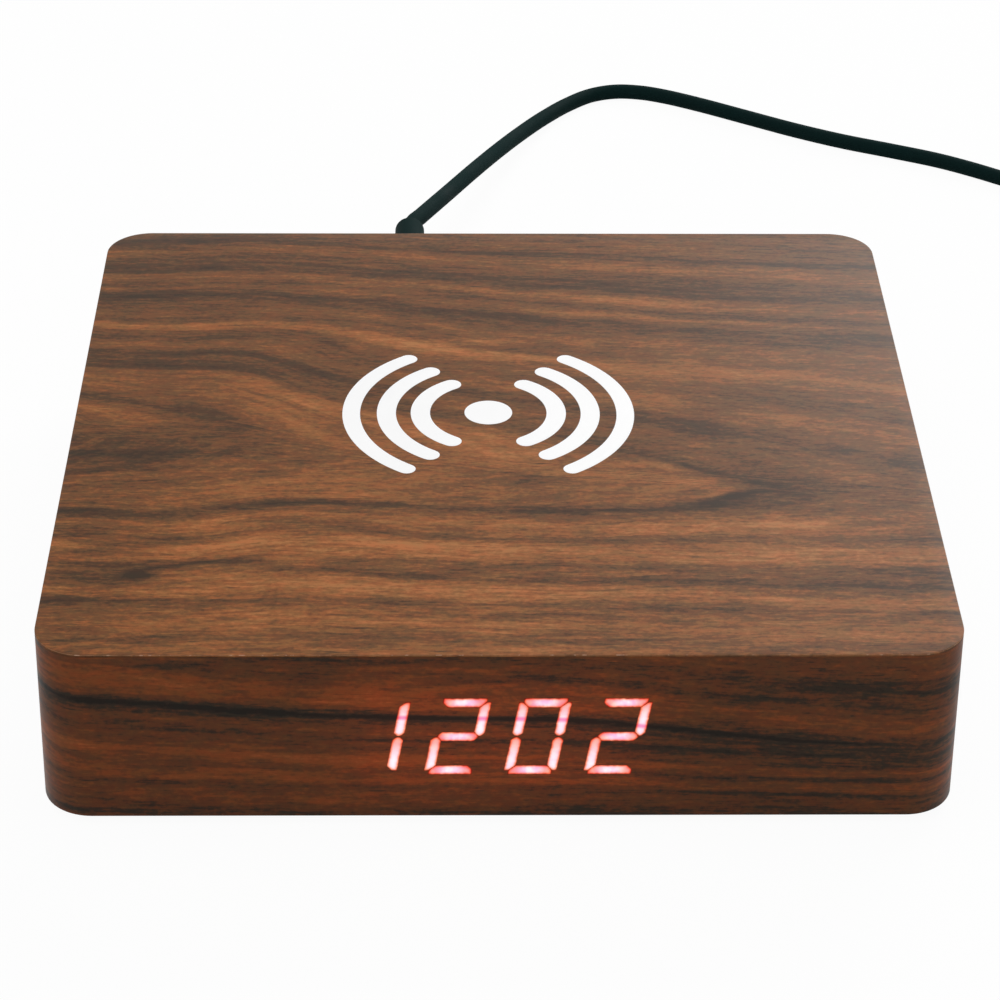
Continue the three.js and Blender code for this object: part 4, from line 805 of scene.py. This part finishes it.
# Charging sign: a dot between three arcs on each side
SIGN_X = -1.15 * MM
SIGN_Y = 3.0 * MM
SIGN_DOT = 4.2 * MM
SIGN_ARCS = ((10.25, 13.65, 57.5), (16.25, 19.6, 55.4), (22.55, 25.65, 54.0))
SIGN_RELIEF = 0.03 * MM


def arc(radius, start, end, steps, middle=(0, 0)):
    angles = (start + (end - start) * i / steps for i in range(steps + 1))
    return [(middle[0] + radius * math.cos(a), middle[1] + radius * math.sin(a)) for a in angles]


def arc_outline(inner, outer, half_angle, steps=40, cap_steps=10):
    """A stroke along an arc about +X, with round ends."""
    radius, half = (inner + outer) / 2, (outer - inner) / 2
    points = []
    ends = ((outer, half_angle, half_angle), (inner, -half_angle, math.pi - half_angle))
    for edge, end, start in ends:
        points += arc(edge, -end, end, steps)
        middle = (radius * math.cos(end), radius * math.sin(end))
        points += arc(half, start, start + math.pi, cap_steps, middle)[1:-1]
    return points


def charging_sign():
    """The printed sign in the middle of the top."""
    def printed(outline):
        levels = (CASE_TOP - LIGHT_RELIEF, CASE_TOP + SIGN_RELIEF)
        return loft([[Vector((x, y, level)) for x, y in outline] for level in levels])

    shapes = [printed([(p.x, p.y) for p in circle(SIGN_DOT, 0, FINE_STEPS)])]
    for inner, outer, half_angle in SIGN_ARCS:
        outline = arc_outline(inner * MM, outer * MM, math.radians(half_angle))
        shapes.append(printed(outline))
        shapes.append(moved(printed(outline), turned_about("Z", 180)))
    sign = moved(merged(*shapes), at(SIGN_X, SIGN_Y))
    finish = moulded("sign_ink", (0.95, 0.95, 0.95), 0.45, spread=0.02, relief=0.05)
    return piece("charging_sign", sign, finish)


# Case films
CORNER_STEPS = 20  # round a corner of the case
JOIN_REACH = 0.001 * MM  # within which vertices are one
DRILL_REACH = 2 * MM  # of a drill to either side of the film


def case_rings(levels):
    """The outline of the case at each (inset, height) level."""
    rings = []
    for inset, height in levels:
        side = CASE_SIDE - 2 * inset
        rings.append(rounded_rectangle(side, side, CORNER_RADIUS - inset, height, CORNER_STEPS))
    return rings


def walnut_top():
    """The film on the case, with its upper edge rounded."""
    levels = [(0.0, TOP_LOW.z)]
    levels += [(inset, CASE_TOP - TOP_EDGE + rise) for inset, rise in rounded_edge(TOP_EDGE)]
    made = piece("walnut_top", loft(case_rings(levels)), top_film_finish())
    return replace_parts(made, "top_film")


def arc_length(x, y):
    """Distance in mm along the case's side from the middle of its front, to the left below 0."""
    flat = CASE_HALF - CORNER_RADIUS
    quarter = CORNER_RADIUS * math.pi / 2
    side = abs(x)
    if side <= flat:
        length = side if y < 0 else 4 * flat + 2 * quarter - side
    elif abs(y) <= flat:
        length = 2 * flat + quarter + y
    else:
        corner = math.copysign(flat, y)
        angle = math.atan2(y - corner, side - flat)
        length = (flat if y < 0 else 3 * flat) + quarter + CORNER_RADIUS * angle
    return math.copysign(length, x) / MM


def walnut_side():
    """The film round the case, open at the buttons and at the plug."""
    top = CASE_HIGH.z
    levels = [(inset, CASE_BOTTOM + FOOT_EDGE - rise)
              for inset, rise in rounded_edge(FOOT_EDGE, 3)][::-1]
    levels += [(0.0, top), (FILM, top), (FILM, CASE_BOTTOM)]
    rings = case_rings(levels)
    skin = loft(rings + rings[:1], caps=False)
    made = piece("walnut_side", skin, side_film_finish())
    modify(made, "WELD", merge_threshold=JOIN_REACH)
    for spot, radius in REAR_HOLES:
        open_hole(made, spot, radius)
    add_grain_map(made)
    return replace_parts(made, "side_film")


def modify(made, kind, **settings):
    """Changes the mesh of a piece by a modifier."""
    modifier = made.modifiers.new("change", kind)
    for name, value in settings.items():
        setattr(modifier, name, value)
    depsgraph = bpy.context.evaluated_depsgraph_get()
    result = bpy.data.meshes.new_from_object(made.evaluated_get(depsgraph))
    made.modifiers.clear()
    made.data = result


def cut_away(made, shape):
    """Takes a shape out of a piece."""
    cutter = piece("cutter", shape, made.data.materials[0])
    modify(made, "BOOLEAN", object=cutter, operation="DIFFERENCE", solver="EXACT")
    bpy.data.objects.remove(cutter)


def open_hole(made, spot, radius):
    """Cuts a round hole through the back of the case's film."""
    bore = turned([(radius, -DRILL_REACH), (radius, DRILL_REACH)], FINE_STEPS)
    drill = moved(bore, turned_about("X", 90))
    cut_away(made, moved(drill, at(spot.x, CASE_HALF, spot.z)))


def add_grain_map(made):
    """Writes mm along the side and up it for each corner of each face, for the grain."""
    around = 2 * arc_length(0, CASE_HALF)
    values = []
    for polygon in made.data.polygons:
        centre = arc_length(polygon.center.x, polygon.center.y)
        for index in polygon.vertices:
            point = made.data.vertices[index].co
            along = arc_length(point.x, point.y)
            if along - centre > around / 2:
                along -= around
            if centre - along > around / 2:
                along += around
            values.extend((along, point.z / MM, 0.0))
    write_vectors(made, "grain", "CORNER", values)


# Push buttons, in the back of the case
BUTTON_RADIUS = 3.2 * MM
BUTTON_FLANGE = 4.4 * MM
FLANGE_THICKNESS = 0.9 * MM
BUTTON_RIM = 0.45 * MM
BUTTON_DISH = 0.25 * MM  # how deep the finger's dish is
DISH_STEPS = 6
BUTTON_HOLE = 3.5 * MM
PLUG_HOLE = 4.4 * MM


def measured(node):
    """The lowest and highest corner and the middle of a node's box."""
    low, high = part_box(node)
    return low, high, (low + high) / 2


KEYS = ("set", "up", "down")
SOCKET = measured("plug_barrel")[2]
REAR_HOLES = [(measured(f"{key}_button")[2], BUTTON_HOLE) for key in KEYS]
REAR_HOLES.append((SOCKET, PLUG_HOLE))


def push_button(key, finish):
    """A round key cap with a soft rim and a shallow dish for the finger."""
    low, high, middle = measured(f"{key}_button")
    tall = high.y - low.y
    profile = [(BUTTON_FLANGE, 0), (BUTTON_FLANGE, FLANGE_THICKNESS),
               (BUTTON_RADIUS, FLANGE_THICKNESS)]
    profile += [(BUTTON_RADIUS - inset, tall - BUTTON_RIM + rise)
                for inset, rise in rounded_edge(BUTTON_RIM, DISH_STEPS)]
    hollow = BUTTON_RADIUS - 2 * BUTTON_RIM
    for share in (i / DISH_STEPS for i in range(DISH_STEPS)):
        sink = BUTTON_DISH * math.sin(math.pi / 2 * share)
        profile.append((hollow * (1 - share), tall - sink))
    shape = moved(turned(profile, FINE_STEPS), turned_about("X", -90))
    made = piece(f"{key}_cap", moved(shape, at(middle.x, low.y, middle.z)), finish,
                 body=f"{key}_key")
    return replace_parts(made, f"{key}_button")


# Feet and screws, under the case
FOOT_RIM = 0.5 * MM  # by which the sole is narrower than the foot
FOOT_EASE = 0.4 * MM
FOOT_SOLE = 1.5 * MM  # height of the rounded part
GROOVE = 0.35 * MM  # depth and half width
GROOVE_SHARES = (0.35, 0.7)  # of the sole's radius
SCREW_HEAD = 2.58 * MM
SCREW_RIM = 0.12 * MM
SCREW_HEIGHT = 1.6 * MM  # of the head
SCREW_SHANK = 1.45 * MM
SCREW_ROOT = 1.1 * MM
SCREW_PITCH = 1.2 * MM
ROOT_SHARES = (0.35, 0.6)  # of the pitch, where the thread is lowest
SCREW_TIP = 1.8 * MM
SCREW_POINT = 0.1 * MM
RECESS_MOUTH = (2.9 * MM, 0.75 * MM)  # length and width of the arms of the screws' cross
RECESS_FLOOR = (1.2 * MM, 0.45 * MM)
RECESS_DEPTH = 1.2 * MM
RECESS_CORNER = 0.1 * MM
OVERRUN = 0.1 * MM  # of the cutter past the head


def rubber_foot(number, finish):
    """A stuck-in foot with a soft rim and two grooves in its sole."""
    low, high, middle = measured(f"rubber_foot_{number}")
    radius = (high.x - low.x) / 2
    tall = high.z - low.z
    sole = radius - FOOT_RIM
    profile = []
    for ring in (sole * share for share in GROOVE_SHARES):
        profile += [(ring - GROOVE, 0), (ring - GROOVE / 2, GROOVE), (ring + GROOVE / 2, GROOVE),
                    (ring + GROOVE, 0)]
    profile += [(sole - inset, FOOT_EASE - rise)
                for inset, rise in rounded_edge(FOOT_EASE, 5)][::-1]
    profile += [(radius, FOOT_SOLE), (radius, tall)]
    shape = moved(turned(profile, FINE_STEPS), at(middle.x, middle.y, low.z))
    made = piece(f"foot_{number}", shape, finish, crease=50)
    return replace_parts(made, f"rubber_foot_{number}")


def base_screw(number, finish):
    """A countersunk wood screw with a cross in its head, which faces down."""
    low, high, middle = measured(f"base_screw_{number}")
    tall = high.z - low.z
    profile = [(SCREW_HEAD - SCREW_RIM, 0), (SCREW_HEAD, SCREW_RIM),
               (SCREW_HEAD, SCREW_HEIGHT / 3), (SCREW_SHANK, SCREW_HEIGHT)]
    for i in range(int((tall - SCREW_TIP - SCREW_HEIGHT) / SCREW_PITCH)):
        start = SCREW_HEIGHT + SCREW_PITCH * i
        profile += [(SCREW_ROOT, start + SCREW_PITCH * share) for share in ROOT_SHARES]
        profile.append((SCREW_SHANK, start + SCREW_PITCH))
    profile += [(SCREW_ROOT, tall - SCREW_TIP), (SCREW_POINT, tall)]
    place = at(middle.x, middle.y, low.z)
    made = piece(f"screw_{number}", moved(turned(profile), place), finish)
    for degrees in (45, 135):
        outlines = ((RECESS_MOUTH, -OVERRUN), (RECESS_FLOOR, RECESS_DEPTH))
        arm = loft([rounded_rectangle(*size, RECESS_CORNER, level, 2) for size, level in outlines])
        cut_away(made, moved(arm, place @ turned_about("Z", degrees)))
    made.data.shade_smooth()
    made.data.set_sharp_from_angle(angle=math.radians(30))
    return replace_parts(made, f"base_screw_{number}")


# Supply lead


def curve_through(points, steps):
    """Points along a centripetal Catmull-Rom curve through points."""
    guide = [points[0] * 2 - points[1], *points, points[-1] * 2 - points[-2]]
    result = []
    for before, start, end, after in zip(guide, guide[1:], guide[2:], guide[3:]):
        knots = [0.0]
        for a, b in ((before, start), (start, end), (end, after)):
            knots.append(knots[-1] + math.sqrt((b - a).length))
        for i in range(steps):
            t = knots[1] + (knots[2] - knots[1]) * i / steps
            result.append(catmull_rom((before, start, end, after), knots, t))
    result.append(points[-1].copy())
    return result


def catmull_rom(points, knots, t):
    """The point at knot value t between the middle two of four points."""
    def blend(a, b, start, end):
        return a * ((end - t) / (end - start)) + b * ((t - start) / (end - start))

    near = [blend(points[i], points[i + 1], knots[i], knots[i + 1]) for i in range(3)]
    wide = [blend(near[i], near[i + 1], knots[i], knots[i + 2]) for i in range(2)]
    return blend(*wide, knots[1], knots[2])


def smooth_step(share):
    share = max(0.0, min(1.0, share))
    return share * share * (3 - 2 * share)


SWEEP = 2 * math.pi * COIL_TURNS + (COIL_EXIT - COIL_ENTRY)
CLIMB = math.pi
LAYER_SWEEP = (SWEEP - CLIMB) / 2
DRIFT = COIL_PITCH / (2 * math.pi)
COIL_OUTER = COIL_MID_RADIUS + DRIFT * LAYER_SWEEP / 2
COIL_INNER = COIL_MID_RADIUS - DRIFT * LAYER_SWEEP / 2


def coil_point(turn):
    """Where the cord is after it has turned so far: inwards, up a layer, and out again."""
    angle = COIL_ENTRY + turn
    into = turn - LAYER_SWEEP
    radius, height = COIL_OUTER - DRIFT * turn, COIL_LEVEL
    if 0 < into < CLIMB:
        share = into / CLIMB
        radius = COIL_INNER - DRIFT * CLIMB * share * (1 - share)
        height = COIL_LEVEL + COIL_PITCH * smooth_step(share)
    elif into >= CLIMB:
        radius, height = COIL_INNER + DRIFT * (into - CLIMB), COIL_LEVEL + COIL_PITCH
    return COIL_AXIS + Vector((radius * math.cos(angle), radius * math.sin(angle), height))


def heading(angle):
    return Vector((-math.sin(angle), math.cos(angle), 0))


def cord_points():
    """The cord's line: its way over the table, the coil and the tail to the far plug."""
    start = coil_point(0)
    lead = [start - heading(COIL_ENTRY) * 4 * CORD_RADIUS * share for share in (1, 0.5)]
    route = [Vector(point) * MM for point in (CORD_ROOT_MM, *LEAD_ROUTE_MM)] + lead
    line = curve_through(route, ROUTE_STEPS)
    count = round(SWEEP / (2 * math.pi) * COIL_STEPS)
    line += [coil_point(SWEEP * i / count) for i in range(count + 1)]
    end = line[-1]
    for i in range(TAIL_STEPS):
        share = (i + 1) / TAIL_STEPS
        point = end + heading(COIL_EXIT) * COIL_TAIL * share
        point.z = end.z + (FAR_LEVEL - end.z) * smooth_step(share * 1.2)
        line.append(point)
    line.append(line[-1] + heading(COIL_EXIT) * FAR_ROOT)
    return line


def supply_cord(finish):
    data = bpy.data.curves.new("supply_cord", "CURVE")
    data.dimensions = "3D"
    data.bevel_depth = CORD_RADIUS
    data.bevel_resolution = 5
    data.use_fill_caps = True
    spline = data.splines.new("POLY")
    line = cord_points()
    spline.points.add(len(line) - 1)
    for target, point in zip(spline.points, line):
        target.co = (*point, 1)
    spline.use_smooth = True
    data.materials.append(finish)
    made = placed("supply_cord", data)
    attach(made, "clock")
    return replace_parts(made, "cord_run", "cord_coil")


NECK_RADIUS = 3.4 * MM  # of the near plug, where it goes into the case
NECK_BEVEL = 0.4 * MM
NECK_LENGTH = 5 * MM
GRIP_RADIUS = 3.8 * MM
GRIP_EDGE = 0.6 * MM
GRIP_END = 24.5 * MM  # from the plug's front
RELIEF_START = 3.05 * MM
RELIEF_END = 2.95 * MM
RELIEF_TIP = 0.8 * MM


def near_plug(finish):
    """The plug in the back of the case: a straight grip and a smooth strain relief."""
    low, high, middle = measured("plug_grip")
    length = high.y - low.y
    profile = [(NECK_RADIUS - NECK_BEVEL, 0), (NECK_RADIUS, NECK_BEVEL),
               (NECK_RADIUS, NECK_LENGTH), (GRIP_RADIUS, NECK_LENGTH + GRIP_EDGE)]
    profile += [(GRIP_RADIUS - inset, GRIP_END - GRIP_EDGE + rise)
                for inset, rise in rounded_edge(GRIP_EDGE, 5)]
    profile.append((RELIEF_START, GRIP_END))
    profile += [(RELIEF_END - inset, length - RELIEF_TIP + rise)
                for inset, rise in rounded_edge(RELIEF_TIP, 5)]
    shape = moved(turned(profile), turned_about("X", -90))
    made = piece("near_plug", moved(shape, at(middle.x, low.y, middle.z)), finish,
                 crease=50)
    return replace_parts(made, "plug_grip")


# Dressing of the frame's own nodes

FINISHES = {
    "fibreboard": fibreboard(),
    "black_plastic": moulded("black_plastic", (0.018, 0.019, 0.02), 0.5),
    "grey_plastic": moulded("grey_plastic", (0.26, 0.28, 0.29), 0.5),
    "white_plastic": moulded("white_plastic", (0.78, 0.77, 0.73), 0.5, spread=0.05),
    "milky_plastic": moulded("milky_plastic", (0.85, 0.8, 0.76), 0.6, spread=0.05),
    "green_board": circuit_board(),
    "rubber": moulded("rubber", (0.016, 0.016, 0.017), 0.85, 0.5, relief=0.3),
    "cord": moulded("cord", (0.004, 0.014, 0.0135), 0.75, 0.6, spread=0.2, relief=0.06,
                    specular_ior_level=0.03),
    "steel": metal("steel", (0.36, 0.37, 0.385), 0.3),
    "nickel": metal("nickel", (0.48, 0.465, 0.43), 0.22),
    "copper": enamelled_copper(),
    "ferrite": moulded("ferrite", (0.035, 0.036, 0.04), 0.7, 0.25, relief=0.3),
}


def dress_frame():
    """Gives every node of the frame that shows its procedural finish."""
    for node in frame["nodes"].values():
        for index, material in enumerate(node.data.materials):
            if material and material.name in FINISHES:
                node.data.materials[index] = FINISHES[material.name]


# Stage


def seen_rays(g):
    """1 for camera, glossy and transmission rays, and 0 for others."""
    rays = g.add("ShaderNodeLightPath").node.outputs
    glossy = g.math("MAXIMUM", rays["Is Camera Ray"], rays["Is Glossy Ray"])
    return g.math("MAXIMUM", glossy, rays["Is Transmission Ray"])


FLOOR_SIDE = 8
FLOOR_COLOUR = (0.85, 0.85, 0.85, 1)
FLOOR_SHADE = 0.045  # how much of the floor's own shading shows in its white


def floor():
    mesh = bpy.data.meshes.new("floor")
    half = FLOOR_SIDE / 2
    mesh.from_pydata([(-half, -half, 0), (half, -half, 0), (half, half, 0), (-half, half, 0)], [],
                     [(0, 1, 2, 3)])
    g = Graph("floor_white")
    diffuse = g.add("ShaderNodeBsdfDiffuse", {"Color": FLOOR_COLOUR})
    white = g.add("ShaderNodeEmission", {"Strength": 1.0})
    share = g.times(seen_rays(g), 1 - FLOOR_SHADE)
    mix = g.add("ShaderNodeMixShader", {0: share, 1: diffuse, 2: white})
    g.feed(g.tree.nodes["Material Output"].inputs["Surface"], mix)
    mesh.materials.append(g.owner)
    placed("floor", mesh)


WORLD_FILL = 0.2
# Lamps: spot, side and power
KEY_LIGHT = ((-0.1, -0.1, 1.3), 1.0, 9.5)
HAZE_LIGHT = ((0.66, 1.16, 0.72), 0.9, 14)
LAMP_AIM = Vector((0, 0, 0.02))


def world():
    g = Graph("studio", bpy.data.worlds)
    background = g.tree.nodes["Background"].inputs
    g.feed(background["Color"], (1, 1, 1, 1))
    g.feed(background["Strength"], g.span(seen_rays(g), 0, 1, WORLD_FILL, 1))
    bpy.context.scene.world = g.owner


def softbox(name, spot, side, power):
    data = bpy.data.lights.new(name, "AREA")
    data.shape = "SQUARE"
    data.size = side
    data.energy = power
    made = placed(name, data)
    made.location = spot
    made.rotation_euler = (LAMP_AIM - Vector(spot)).to_track_quat("-Z", "Y").to_euler()


def camera():
    """The photograph's camera, turned about its target and moved back from it."""
    data = bpy.data.cameras.new("photo_camera")
    data.sensor_width = SENSOR_WIDTH
    data.lens = FOCAL_LENGTH
    data.shift_x = SHIFT_X
    data.shift_y = SHIFT_Y
    data.clip_start = 0.01
    aim = turned_about("Z", CAMERA_AZIMUTH) @ turned_about("X", 90 - CAMERA_ELEVATION)
    back = turned_about("Z", CAMERA_ROLL) @ at(z=CAMERA_DISTANCE)
    made = placed("photo_camera", data)
    made.matrix_world = at(*CAMERA_TARGET) @ aim @ back
    bpy.context.scene.camera = made


# The scene

camera()
world()
floor()
softbox("key_light", *KEY_LIGHT)
softbox("haze_light", *HAZE_LIGHT)
bpy.context.scene.view_settings.view_transform = "Standard"

dress_frame()
walnut_top()
walnut_side()
charging_sign()
lit_segments()
for key in KEYS:
    push_button(key, FINISHES["black_plastic"])
for number in range(1, 5):
    rubber_foot(number, FINISHES["rubber"])
    base_screw(number, FINISHES["steel"])
cord = supply_cord(FINISHES["cord"])
plug = near_plug(FINISHES["cord"])
